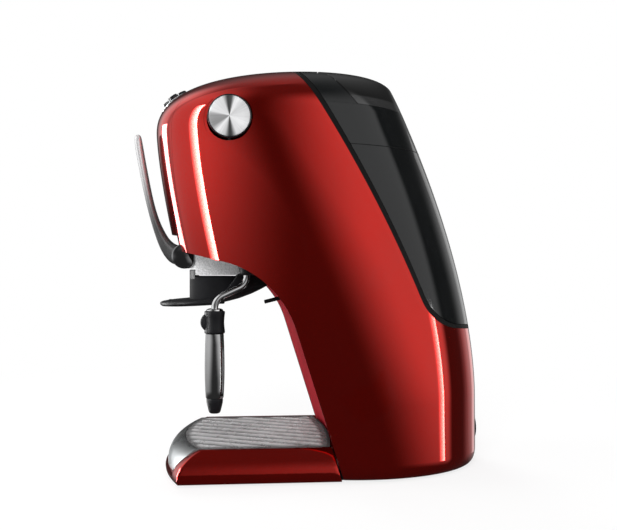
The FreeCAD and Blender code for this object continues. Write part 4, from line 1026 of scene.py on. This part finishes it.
# lever sections in mm from the hub: outer point ahead and up, inner point ahead and up, half width
LEVER_ROWS = (
    (6.0, -8.2, 2.0, 9.2, 15.4),
    (13.5, -6.6, 8.6, 9.8, 15.4),
    (19.6, 1.4, 14.6, 14.8, 15.4),
    (23.6, 10.0, 18.9, 22.0, 15.0),
    (28.6, 25.0, 23.6, 31.5, 14.4),
    (34.0, 45.5, 28.4, 47.5, 13.4),
    (38.2, 65.5, 32.2, 67.0, 12.3),
    (41.6, 83.0, 35.4, 84.4, 11.4),
    (43.5, 94.2, 37.2, 95.4, 10.6),
    (44.2, 100.8, 38.3, 101.6, 8.8),
    (43.9, 105.0, 39.1, 105.6, 5.4),
)
LEVER_SQUARE = 0.55
HUB_PROFILE = (
    (0, -HUB_HALF), (HUB_RADIUS - 1.2, -HUB_HALF), (HUB_RADIUS - 0.4, -HUB_HALF + 0.3),
    (HUB_RADIUS, -HUB_HALF + 1.2), (HUB_RADIUS, HUB_HALF - 1.2), (HUB_RADIUS - 0.4, HUB_HALF - 0.3),
    (HUB_RADIUS - 1.2, HUB_HALF), (0, HUB_HALF),
)
CAP_RADIUS = 10.6
CAP_SEAT = 24.6
CAP_SLOPE = 3.2
CAP_PROFILE = (
    (0, 24.1), (CAP_RADIUS - 0.6, 24.1), (CAP_RADIUS, 24.5), (CAP_RADIUS, 27.4), (10.4, 28.0), (10.0, 28.3),
    (9.0, 28.6), (6.0, 28.75), (3.0, 28.85), (0, 28.9),
)


def squared(level, power):
    """Power of a level from -1 to 1 that keeps its sign, which squares up a round section."""
    return math.copysign(abs(level) ** power, level)


class COFFEE_OT_lever(bpy.types.Operator):
    """Bowed lever with its hub"""

    bl_idname = "coffee.lever"
    bl_label = "Lever"

    def execute(self, context):
        bm = bmesh.new()
        bmesh.ops.create_circle(bm, cap_ends=True, radius=1, segments=12)
        ring = sorted(bm.verts, key=lambda vert: math.atan2(vert.co.y, vert.co.x))
        turns = [math.atan2(vert.co.y, vert.co.x) for vert in ring]
        self.set_row(ring, turns, LEVER_ROWS[0])
        for row in LEVER_ROWS[1:]:
            ring_set = set(ring)
            face = next(f for f in bm.faces if set(f.verts) == ring_set)
            fresh = verts_in(bmesh.ops.extrude_face_region(bm, geom=[face])["geom"])
            bmesh.ops.delete(bm, geom=[face], context="FACES_ONLY")
            ring = [min(fresh, key=lambda v, old=old: (v.co - old.co).length) for old in ring]
            self.set_row(ring, turns, row)
        face_out(bm)
        piece = soften(new_piece("lever_handle", bm, (subdivided(3),)), 60)
        seat(piece, "lever", "polished_chrome", "lever_chrome", "lever")
        turned_piece("lever_hub", HUB_PROFILE, HUB, "x", 64, 30,
                     "lever", "polished_chrome", "polished_chrome")
        for name, side in (("right_hub_cap", 1), ("left_hub_cap", -1)):
            self.hub_cap(name, side)
        return {"FINISHED"}

    def hub_cap(self, name, side):
        """Smooth cap over the end of the shaft, sloping away toward the rear."""
        bm = turned_mesh(CAP_PROFILE)
        for vert in bm.verts:
            if vert.co.z > CAP_SEAT * MM:
                slope = max(0.0, vert.co.y / (CAP_RADIUS * MM))
                vert.co.z -= CAP_SLOPE * MM * slope * slope
        swing = Matrix(((0, 0, side, 0), (0, 1, 0, 0), (1, 0, 0, 0), (0, 0, 0, 1)))
        move(bm, Matrix.Translation(HUB) @ swing)
        face_out(bm)
        seat(soften(new_piece(name, bm), 40), "lever", "polished_chrome", "dark_chrome")

    def set_row(self, ring, turns, row):
        """Place one rounded section between its outer and inner point."""
        outer = HUB + Vector((0, -row[0] * MM, row[1] * MM))
        inner = HUB + Vector((0, -row[2] * MM, row[3] * MM))
        middle = (outer + inner) / 2
        depth = (outer - inner) / 2
        for vert, turn in zip(ring, turns):
            across = squared(math.cos(turn), LEVER_SQUARE)
            through = squared(math.sin(turn), LEVER_SQUARE)
            vert.co = middle + Vector((across * row[4] * MM, 0, 0)) + depth * through


# profiles of the drawer and the bowl in mm: radius and height, or place and height for the bowl's two lines
LIP_PROFILE = (
    (0, -2.5), (41, -2.5), (44.6, -2.1), (46.1, -1.1), (LIP_RADIUS, 0.1), (46.1, 1.2), (44.6, 2.0),
    (41, 2.5), (0, 2.5),
)
CUP_PROFILE = (
    (3, 149), (18.6, 149), (19.5, 150), (19.5, 161.7), (20.2, 162.4), (25.2, 162.4), (26, 161.6),
    (26, 141.5), (3, 141.5), (3, 149),
)
CUP_FLOOR = 2.6
CUP_WALL_PROFILE = ((23, 160), (26, 160), (26, 167.4), (25.4, 168), (23.6, 168), (23, 167.4), (23, 160))
CUP_WALL_HALF = math.radians(37)
OUTLET_PROFILE = ((2, 143), (2, 138.6), (2.4, 138.2), (3.4, 138.2), (3.8, 138.7), (4.2, 143), (2, 143))
OUTLET_AXIS = 77.5 * MM
BOWL_LOW = (
    (-83, 138.9), (-79, 139.5), (-70, 141.2), (-61, 143.4), (-50, 147.4), (-42, 151.2), (-36, 154.4),
    (-32, 157),
)
BOWL_HIGH = (
    (-83, 143.9), (-79, 145.2), (-74, 149), (-69, 154.5), (-64, 161), (-59, 168), (-55, 172), (-32, 176),
)
BOWL_FRONT = -82.8
BOWL_DEPTH = 50.0


class COFFEE_OT_brew_group(bpy.types.Operator):
    """Brew block, capsule drawer, spout cover and peg"""

    bl_idname = "coffee.brew_group"
    bl_label = "Brew group"

    def execute(self, context):
        dressed_copy("brew_block", "brew_head", "cast_silver", "cast_silver", 0.8 * MM)
        self.drawer()
        self.spout()
        dressed_copy("peg_body", "shelf_peg", "black_satin", "black_satin", 0.5 * MM)
        dressed_copy("head_underside", "head_bottom_cover", "black_satin", "black_satin")
        return {"FINISHED"}

    def drawer(self):
        """Thin round lip that dips toward the front, the capsule cup on it and its guide tongue."""
        tilt = Matrix.Rotation(LIP_TILT, 4, "X")
        bm = turned_mesh(LIP_PROFILE, segments=96)
        move(bm, Matrix.Translation((0, -LIP_AXIS, LIP_HEIGHT)) @ tilt)
        whole = bm.verts[:] + bm.edges[:] + bm.faces[:]
        half = Vector((0, -LIP_AXIS - 0.1 * MM, 0))
        cut = bmesh.ops.bisect_plane(bm, geom=whole, plane_co=half, plane_no=(0, 1, 0), clear_outer=True)
        bmesh.ops.holes_fill(bm, edges=edges_in(cut["geom_cut"]), sides=0)
        satin_piece("drawer_lip", bm, "drawer", 50, nodes=("capsule_drawer",))

        bm = turned_mesh(CUP_PROFILE, segments=96)
        move(bm, Matrix.Translation((0, -BREW_AXIS, 0)))
        for vert in bm.verts:
            vert.co.z = max(vert.co.z, (curve_at(BOWL_LOW, vert.co.y / MM) + CUP_FLOOR) * MM)
        satin_piece("drawer_cup", bm, "drawer", 40)

        bm = turned_mesh(CUP_WALL_PROFILE, -math.pi / 2 - CUP_WALL_HALF, 2 * CUP_WALL_HALF, 32)
        bmesh.ops.holes_fill(bm, edges=[edge for edge in bm.edges if edge.is_boundary], sides=0)
        face_out(bm)
        move(bm, Matrix.Translation((0, -BREW_AXIS, 0)))
        satin_piece("drawer_front_wall", bm, "drawer", 40)

        bm = bmesh.new()
        add_block(bm, TONGUE_SPOT, TONGUE_SIZE)
        for side in (-1, 1):
            add_pin(bm, Matrix.Translation(on_side(STUD_SPOT, side)) @ tilt, 1.7, 1.3, 0.7, 24)
        satin_piece("drawer_tongue", bm, "drawer", 40, (rounded(0.2 * MM),))

    def spout(self):
        """Bowl under the head that carries on from the lip, and the small outlet below it."""
        bm = bmesh.new()
        bmesh.ops.create_grid(bm, x_segments=40, y_segments=48, size=1)
        for vert in bm.verts:
            spot = BOWL_FRONT + (vert.co.x + 1) / 2 * BOWL_DEPTH
            turn = (vert.co.y + 1) / 2 * math.pi
            wide = math.sqrt(max(1.0, LIP_RADIUS ** 2 - 0.80 * (spot + LIP_AXIS / MM) ** 2))
            bottom = curve_at(BOWL_LOW, spot)
            top = curve_at(BOWL_HIGH, spot)
            across = squared(math.cos(turn), 0.5)
            drop = abs(math.sin(turn)) ** 0.6
            vert.co = (wide * across * MM, spot * MM, (top + (bottom - top) * drop) * MM)
        inner = [vert for vert in bm.verts if not vert.is_boundary]
        bmesh.ops.smooth_vert(bm, verts=inner, factor=0.5, use_axis_x=True, use_axis_y=True, use_axis_z=True)
        face_toward(bm, Vector((0, 0, -1)))
        walls = (thick(2 * MM), rounded(0.5 * MM))
        satin_piece("spout_bowl", bm, "machine", 45, walls, ("spout_cover",))
        bm = turned_mesh(OUTLET_PROFILE, segments=40)
        move(bm, Matrix.Translation((0, -OUTLET_AXIS, 0)))
        satin_piece("spout_outlet", bm, "machine", 40)


# profiles of the knob and the wand in mm: radius and height
KNOB_PROFILE = (
    (4.1, 0), (14.6, 0), (15.2, 0.6), (17.1, 10.6), (17.2, 12.0), (16.95, 12.7), (16.4, 13.0), (16.1, 12.8),
    (16.1, 11.7), (4.1, 11.7),
)
DISC_PROFILE = (
    (0, 11.8), (15.9, 11.8), (16.0, 12.9), (15.75, 13.2), (15.4, 13.35), (11, 13.38), (6, 13.4), (1, 13.4),
    (0, 13.4),
)
GRIP_PROFILE = (
    (2.8, 117), (7.9, 117), (8.2, 117.4), (8.3, 118.4), (7.9, 121.5), (7.6, 126), (7.9, 130.5), (8.3, 133.5),
    (8.2, 134.5), (7.6, 135), (2.8, 135),
)
TAB_PROFILE = ((0, -3), (7.0, -3), (7.6, -2.5), (7.8, -1.8), (7.8, 1.8), (7.6, 2.5), (7.0, 3), (0, 3))
RING_PROFILE = (
    (2.8, 134.6), (6.2, 134.6), (6.8, 135.2), (6.6, 136.1), (5.6, 136.7), (4.2, 137.0), (2.8, 137.0),
)
SLEEVE_PROFILE = (
    (2.8, 116.8), (6.9, 116.8), (7.2, 116.5), (7.3, 115.6), (7.6, 108), (7.85, 98), (7.95, 89), (7.85, 80),
    (7.5, 71), (7.15, 65.5), (6.9, 65), (5.8, 65), (5.8, 104.8), (2.8, 104.8),
)
TIP_PROFILE = (
    (0.9, 52.7), (3.4, 52.7), (4.3, 53.3), (4.9, 54.6), (6.5, 61.2), (6.7, 63.6), (6.5, 64.6), (5.7, 64.9),
    (5.7, 68.9), (0.9, 68.9),
)


class COFFEE_OT_knob(bpy.types.Operator):
    """Steam knob with its spun face"""

    bl_idname = "coffee.knob"
    bl_label = "Steam knob"

    def execute(self, context):
        spot = KNOB_SPOT + Vector((KNOB_SEAT, 0, 0))
        turned_piece("knob_ring", KNOB_PROFILE, spot, "x", 96, 30,
                     "knob", "black_satin", "black_gloss", "steam_knob")
        turned_piece("knob_disc", DISC_PROFILE, spot, "x", 96, 30,
                     "knob", "spun_aluminium", "spun_aluminium", "knob_face")
        return {"FINISHED"}


class COFFEE_OT_wand(bpy.types.Operator):
    """Steam pipe, grip, frother sleeve and tip"""

    bl_idname = "coffee.wand"
    bl_label = "Steam wand"

    def execute(self, context):
        dressed_copy("wand_pipe", "steam_pipe", "polished_chrome", "polished_chrome")
        turned_piece("grip_body", GRIP_PROFILE, WAND, "z", 64, 40,
                     "wand", "black_satin", "black_satin", "frother_grip")
        turned_piece("grip_tab", TAB_PROFILE, TAB_SPOT, "x", 48, 40, "wand", "black_satin", "black_satin")
        turned_piece("grip_ring", RING_PROFILE, WAND, "z", 48, 40,
                     "wand", "polished_chrome", "polished_chrome")
        turned_piece("sleeve_tube", SLEEVE_PROFILE, WAND, "z", 72, 35,
                     "frother", "polished_chrome", "sleeve_steel", "frother_sleeve")
        turned_piece("tip_cone", TIP_PROFILE, WAND, "z", 64, 35,
                     "frother", "black_satin", "black_satin", "frother_tip")
        dressed_copy("swivel_bush", "steam_swivel", "black_satin", "black_satin", 0.3 * MM)
        return {"FINISHED"}


class COFFEE_OT_controls(bpy.types.Operator):
    """Control plate and the four buttons"""

    bl_idname = "coffee.controls"
    bl_label = "Controls"

    def execute(self, context):
        dressed_copy("control_disc", "control_plate", "spun_aluminium", "silver_paint", 0.2 * MM)
        spot, way = control_axis()
        for node in ("power_button", "steam_button", "small_cup_button", "large_cup_button"):
            look = "polished_chrome" if node == "steam_button" else "black_gloss"
            cap = dressed_copy(node + "_cap", node, "black_satin", look, 0.5 * MM)
            for vert in cap.data.vertices:
                if (vert.co - spot).dot(way) > BUTTON_TOP:
                    vert.co += way * BUTTON_LIFT
        return {"FINISHED"}


class COFFEE_OT_drip_tray(bpy.types.Operator):
    """Tray base, drip tray and its rippled grille"""

    bl_idname = "coffee.drip_tray"
    bl_label = "Drip tray"

    def execute(self, context):
        dressed_copy("base_walls", "tray_base", "red_lacquer", "red_lacquer", 0.5 * MM)
        dressed_copy("tray_pan", "drip_tray", "silver_paint", "tray_silver", 0.4 * MM)
        self.grille()
        self.corner_ribs()
        return {"FINISHED"}

    def corner_ribs(self):
        """Low ribs of the base plate that close the corner between the tray base and the housing."""
        bm = bmesh.new()
        for side in (-1, 1):
            add_block(bm, on_side(RIB_SPOT, side), RIB_SIZE)
        satin_piece("corner_ribs", bm, "machine", 30, (rounded(0.4 * MM),))

    def grille(self):
        """Plate with soft slanting ripples and a drain slot in each valley."""
        def inside(point):
            """Distance from the plate's bowed outline inward."""
            across = point.x / (GRILLE_HALF * MM)
            front = point.y - (GRILLE_FRONT + GRILLE_FRONT_BOW * across * across + GRILLE_FRONT_PLAY) * MM
            rear = (GRILLE_REAR - GRILLE_REAR_BOW * across * across - GRILLE_PLAY) * MM - point.y
            return min((GRILLE_HALF - GRILLE_PLAY) * MM - abs(point.x), front, rear)

        def valley(point):
            """Distance from the middle of the nearest valley."""
            along = point.x * math.cos(RIPPLE_TURN) - (point.y + RIPPLE_START) * math.sin(RIPPLE_TURN)
            return abs((along / RIPPLE_PITCH) % 1 - 0.5) * RIPPLE_PITCH

        bm = bmesh.new()
        scale = Matrix.Diagonal((70 * MM, 66 * MM, 1, 1))
        place = Matrix.Translation((0, GRILLE_MIDDLE, GRILLE_HEIGHT)) @ scale
        bmesh.ops.create_grid(bm, x_segments=124, y_segments=116, size=1, matrix=place)
        trim(bm, inside)
        trim(bm, lambda p: max(valley(p) - SLOT_HALF, SLOT_MARGIN - inside(p)))
        for vert in bm.verts:
            share = min(1.0, max(0.0, (inside(vert.co) - GRILLE_RIM) / GRILLE_RIM_SLOPE))
            wave = 0.5 - 0.5 * math.cos(2 * math.pi * valley(vert.co) / RIPPLE_PITCH)
            vert.co.z += RIPPLE_HEIGHT * wave * share * share * (3 - 2 * share)
        piece = soften(new_piece("grille_plate", bm, (thick(1.8 * MM), rounded(0.25 * MM, 2, 60))), 50)
        seat(piece, "grille", "grille_steel", "grille_steel", "drip_grille")


CARRIED = {
    "black_satin": ("base_plate",),
    "soft_rubber": (
        "rubber_feet", "socket_seal", "piston_seal", "pump_mounts", "suction_hose", "pressure_hose",
    ),
    "plain_steel": (
        "lever_shaft", "valve_spindle", "lid_hinge_pin", "housing_screws", "steam_tube", "wand_tube",
        "inner_frame",
    ),
    "inner_plastic": ("tank_valve", "tank_socket", "flow_meter", "brew_piston"),
    "brass_valve": ("steam_valve",),
    "boiler_alloy": ("thermoblock",),
    "pump_case": ("pump",),
    "circuit_board": ("control_board", "button_board"),
}


class COFFEE_OT_carried_parts(bpy.types.Operator):
    """Finishes of the parts that keep their solids' own shape"""

    bl_idname = "coffee.carried_parts"
    bl_label = "Carried parts"

    def execute(self, context):
        for look, nodes in CARRIED.items():
            for node in nodes:
                mesh = frame["nodes"][node].data
                mesh.materials.clear()
                mesh.materials.append(finish_named(look))
        self.gland()
        return {"FINISHED"}

    def gland(self):
        """Bush in the rear panel, nearly flush with it."""
        piece = dressed_copy("gland_bush", "cord_gland", "black_satin", "black_satin", 0.3 * MM)
        flush = section(GLAND_HEIGHT)[1] + GLAND_PROUD
        for vert in piece.data.vertices:
            vert.co.y -= GLAND_DRAWN * max(0.0, vert.co.y - flush)


FRONT_STRIPS = ("front_right_strip", "front_left_strip")
SHADED = (
    "lever_handle", "right_hub_cap", "left_hub_cap", "wand_pipe", "grip_ring", "sleeve_tube", "drawer_cup",
)

# lights: name, place, width, height, level, fall from one long edge to the other, and the rays that meet it
LAMPS = (
    ("front_right_strip", (0.352, -1.31, 0.30), 0.24, 1.4, 47.0, 1.8, "glossy"),
    ("front_left_strip", (-0.70, -1.12, 0.05), 0.30, 1.0, 11.0, 0.0, "glossy"),
    ("rear_right_strip", (0.437, 1.30, 0.02), 0.17, 0.52, 21.0, 2.5, "glossy"),
    ("rear_left_strip", (-0.95, 0.95, 0.20), 0.34, 1.0, 0.5, 0.0, "glossy"),
    ("front_key", (-0.18, -1.5, 0.6), 0.5, 1.2, 6.0, 0.0, "diffuse"),
    ("rear_key", (-0.18, 1.6, 0.6), 0.5, 1.2, 6.0, 0.0, "diffuse"),
    ("side_fill", (1.4, -0.3, 0.9), 0.8, 0.8, 11.0, 0.0, "diffuse"),
    ("far_fill", (-1.4, -0.3, 0.9), 0.8, 0.8, 7.0, 0.0, "diffuse"),
    ("low_fill", (1.5, -0.55, 0.12), 0.7, 0.5, 5.5, 0.0, "diffuse"),
    ("overhead_panel", (-0.1, 0.0, 1.5), 0.7, 1.2, 1.5, 0.0, "diffuse"),
)
LAMP_AIM = Vector((0, 0, 0.18))
FIRST_BOUNCES = 2.5
EYE_SIDE = 747.1 * MM
EYE_AHEAD = -65.4 * MM
EYE_TURN = math.radians(5)
FLOOR_RADIUS = 0.95


class COFFEE_OT_stage(bpy.types.Operator):
    """Pale floor, soft light and the camera"""

    bl_idname = "coffee.stage"
    bl_label = "Stage"

    def execute(self, context):
        studio = context.scene.coffee_studio
        self.floor()
        self.world(studio.ambient)
        self.lamps()
        lens = bpy.data.cameras.new("view")
        lens.lens = studio.lens
        lens.sensor_width = 36
        eye = bpy.data.objects.new("view", lens)
        eye.location = (EYE_SIDE, EYE_AHEAD, studio.eye_height)
        self.aim(eye, Vector((-math.cos(EYE_TURN), math.sin(EYE_TURN), 0)))
        context.scene.collection.objects.link(eye)
        context.scene.camera = eye
        context.scene.view_settings.view_transform = "Standard"
        return {"FINISHED"}

    def aim(self, item, way):
        item.rotation_mode = "QUATERNION"
        item.rotation_quaternion = way.to_track_quat("-Z", "Y")

    def floor(self):
        """Round floor that shows pale, fades to white outward and throws little light back."""
        bm = bmesh.new()
        bmesh.ops.create_circle(bm, cap_ends=True, radius=FLOOR_RADIUS, segments=96)
        floor = new_piece("floor", bm)
        floor.location.z = -0.05 * MM
        material = bpy.data.materials.new("pale_floor")
        material.use_nodes = True
        tree = material.node_tree
        tree.nodes.clear()
        place = add_node(tree, "TexCoord").outputs["Object"]
        length = add_node(tree, "VectorMath", {0: place}, operation="LENGTH").outputs["Value"]
        path = add_node(tree, "LightPath").outputs
        seen = math_node(tree, "MULTIPLY", soft(tree, length, 0.2, 0.75, 0.78), path["Is Camera Ray"])
        tone = blended(tree, path["Is Diffuse Ray"], (0.88, 0.88, 0.88), (0.2, 0.2, 0.2))
        matt = add_node(tree, "BsdfDiffuse", {"Color": tone}).outputs[0]
        glow = add_node(tree, "Emission").outputs[0]
        surface = add_node(tree, "MixShader", {0: seen, 1: matt, 2: glow}).outputs[0]
        add_node(tree, "OutputMaterial", {"Surface": surface})
        floor.data.materials.append(material)
        floor.visible_glossy = False

    def world(self, ambient):
        """White where it is seen, dim as light, and bright at both ends of the room in reflections."""
        world = bpy.data.worlds.new("studio")
        bpy.context.scene.world = world
        world.use_nodes = True
        tree = world.node_tree
        path = add_node(tree, "LightPath").outputs
        place = add_node(tree, "TexCoord").outputs["Generated"]
        way = add_node(tree, "SeparateXYZ", {0: place}).outputs

        def ramp(value, start, stop):
            return soft(tree, value, start, stop)

        def product(first, *others):
            for other in others:
                first = math_node(tree, "MULTIPLY", first, other)
            return first

        def total(first, *others):
            for other in others:
                first = math_node(tree, "ADD", first, other)
            return first

        def least(first, second):
            return math_node(tree, "MINIMUM", first, second)

        def most(first, second):
            return math_node(tree, "MAXIMUM", first, second)

        degrees = 180 / math.pi
        turn = product(math_node(tree, "ARCTAN2", way["Y"], way["X"]), degrees)
        aside = math_node(tree, "ABSOLUTE", turn)
        rise = product(math_node(tree, "ARCSINE", way["Z"]), degrees)
        height = math_node(tree, "ABSOLUTE", rise)
        front_lean = total(turn, least(product(height, 1.5), 17.0))
        rear_lean = total(turn, most(least(product(rise, 2.3), 19.0), -25.0))
        front_right = product(ramp(front_lean, -5, -70), ramp(turn, -120, -110), ramp(rise, 80, 45), 0.8)
        rear_right = product(ramp(rear_lean, 0, 62), ramp(turn, 88, 80), ramp(rise, 62, 25), 0.85)
        rear_left = product(ramp(turn, 104, 128), ramp(turn, 165, 140), ramp(rise, 24, 8), 0.6)
        front_left = product(ramp(turn, -112, -124), ramp(turn, -162, -135), ramp(rise, 65, 40))
        walls = product(total(front_right, rear_right, rear_left, front_left), ramp(rise, -26, 0))
        overhead = product(ramp(rise, 25, 65), total(0.05, product(ramp(aside, 30, 180), 0.22)))
        mirrored = product(total(walls, overhead, 0.045), path["Is Glossy Ray"])
        shown = most(most(path["Is Camera Ray"], path["Is Transmission Ray"]), mirrored)
        matt = product(math_node(tree, "SUBTRACT", 1.0, path["Is Glossy Ray"]), ambient)
        shade = tree.nodes["Background"].inputs
        shade["Color"].default_value = (1, 1, 1, 1)
        tree.links.new(most(shown, matt), shade["Strength"])

    def lamps(self):
        """Tall strip lights at both ends, toward each side, and a soft panel overhead."""
        shaded = self.shaded_parts()
        for name, spot, wide, tall, level, fall, kind in LAMPS:
            lamp = bpy.data.lights.new(name, "AREA")
            lamp.shape = "RECTANGLE"
            lamp.size = wide
            lamp.size_y = tall
            lamp.energy = level * math.pi * wide * tall
            if kind == "glossy":
                self.grade(lamp, fall)
            body = bpy.data.objects.new(name, lamp)
            body.location = spot
            self.aim(body, LAMP_AIM - Vector(spot))
            body.visible_camera = False
            body.visible_glossy = kind == "glossy"
            body.visible_diffuse = kind == "diffuse"
            if name in FRONT_STRIPS:
                body.light_linking.receiver_collection = shaded
            bpy.context.scene.collection.objects.link(body)

    def shaded_parts(self):
        """Small round parts, which the front strips leave out so that they don't burn out to white."""
        shaded = bpy.data.collections.new("shaded_parts")
        for row, name in enumerate(SHADED):
            shaded.objects.link(bpy.data.objects[name])
            shaded.collection_objects[row].light_linking.link_state = "EXCLUDE"
        return shaded

    def grade(self, lamp, fall):
        """Let a strip light fade from one long edge to the other, and show in a first reflection only."""
        lamp.use_nodes = True
        tree = lamp.node_tree
        place = add_node(tree, "NewGeometry").outputs["Parametric"]
        along = add_node(tree, "SeparateXYZ", {0: place}).outputs["X"]
        depth = add_node(tree, "LightPath").outputs["Ray Depth"]
        first = math_node(tree, "LESS_THAN", depth, FIRST_BOUNCES)
        shown = math_node(tree, "MULTIPLY", math_node(tree, "POWER", along, fall), first)
        tree.links.new(shown, tree.nodes["Emission"].inputs["Strength"])


STEPS = (
    COFFEE_OT_red_shells,
    COFFEE_OT_column,
    COFFEE_OT_tank,
    COFFEE_OT_lever,
    COFFEE_OT_brew_group,
    COFFEE_OT_knob,
    COFFEE_OT_wand,
    COFFEE_OT_controls,
    COFFEE_OT_drip_tray,
    COFFEE_OT_carried_parts,
    COFFEE_OT_stage,
)


class VIEW3D_PT_coffee_machine(bpy.types.Panel):
    """Lists the coffee machine's pieces"""

    bl_label = "Coffee machine"
    bl_space_type = "VIEW_3D"
    bl_region_type = "UI"
    bl_category = "Coffee"

    def draw(self, context):
        for step in STEPS:
            self.layout.operator(step.bl_idname)


GROUPS_OF_SIZES = (FinishColours, ShellSizes, StudioSizes)


def register():
    for kind in GROUPS_OF_SIZES + STEPS + (VIEW3D_PT_coffee_machine,):
        bpy.utils.register_class(kind)
    bpy.types.Scene.coffee_colours = bpy.props.PointerProperty(type=FinishColours)
    bpy.types.Scene.coffee_shells = bpy.props.PointerProperty(type=ShellSizes)
    bpy.types.Scene.coffee_studio = bpy.props.PointerProperty(type=StudioSizes)


def unregister():
    del bpy.types.Scene.coffee_colours
    del bpy.types.Scene.coffee_shells
    del bpy.types.Scene.coffee_studio
    for kind in reversed(GROUPS_OF_SIZES + STEPS + (VIEW3D_PT_coffee_machine,)):
        bpy.utils.unregister_class(kind)


def main():
    register()
    for step in STEPS:
        group, name = step.bl_idname.split(".")
        getattr(getattr(bpy.ops, group), name)()


if __name__ == "__main__":
    main()
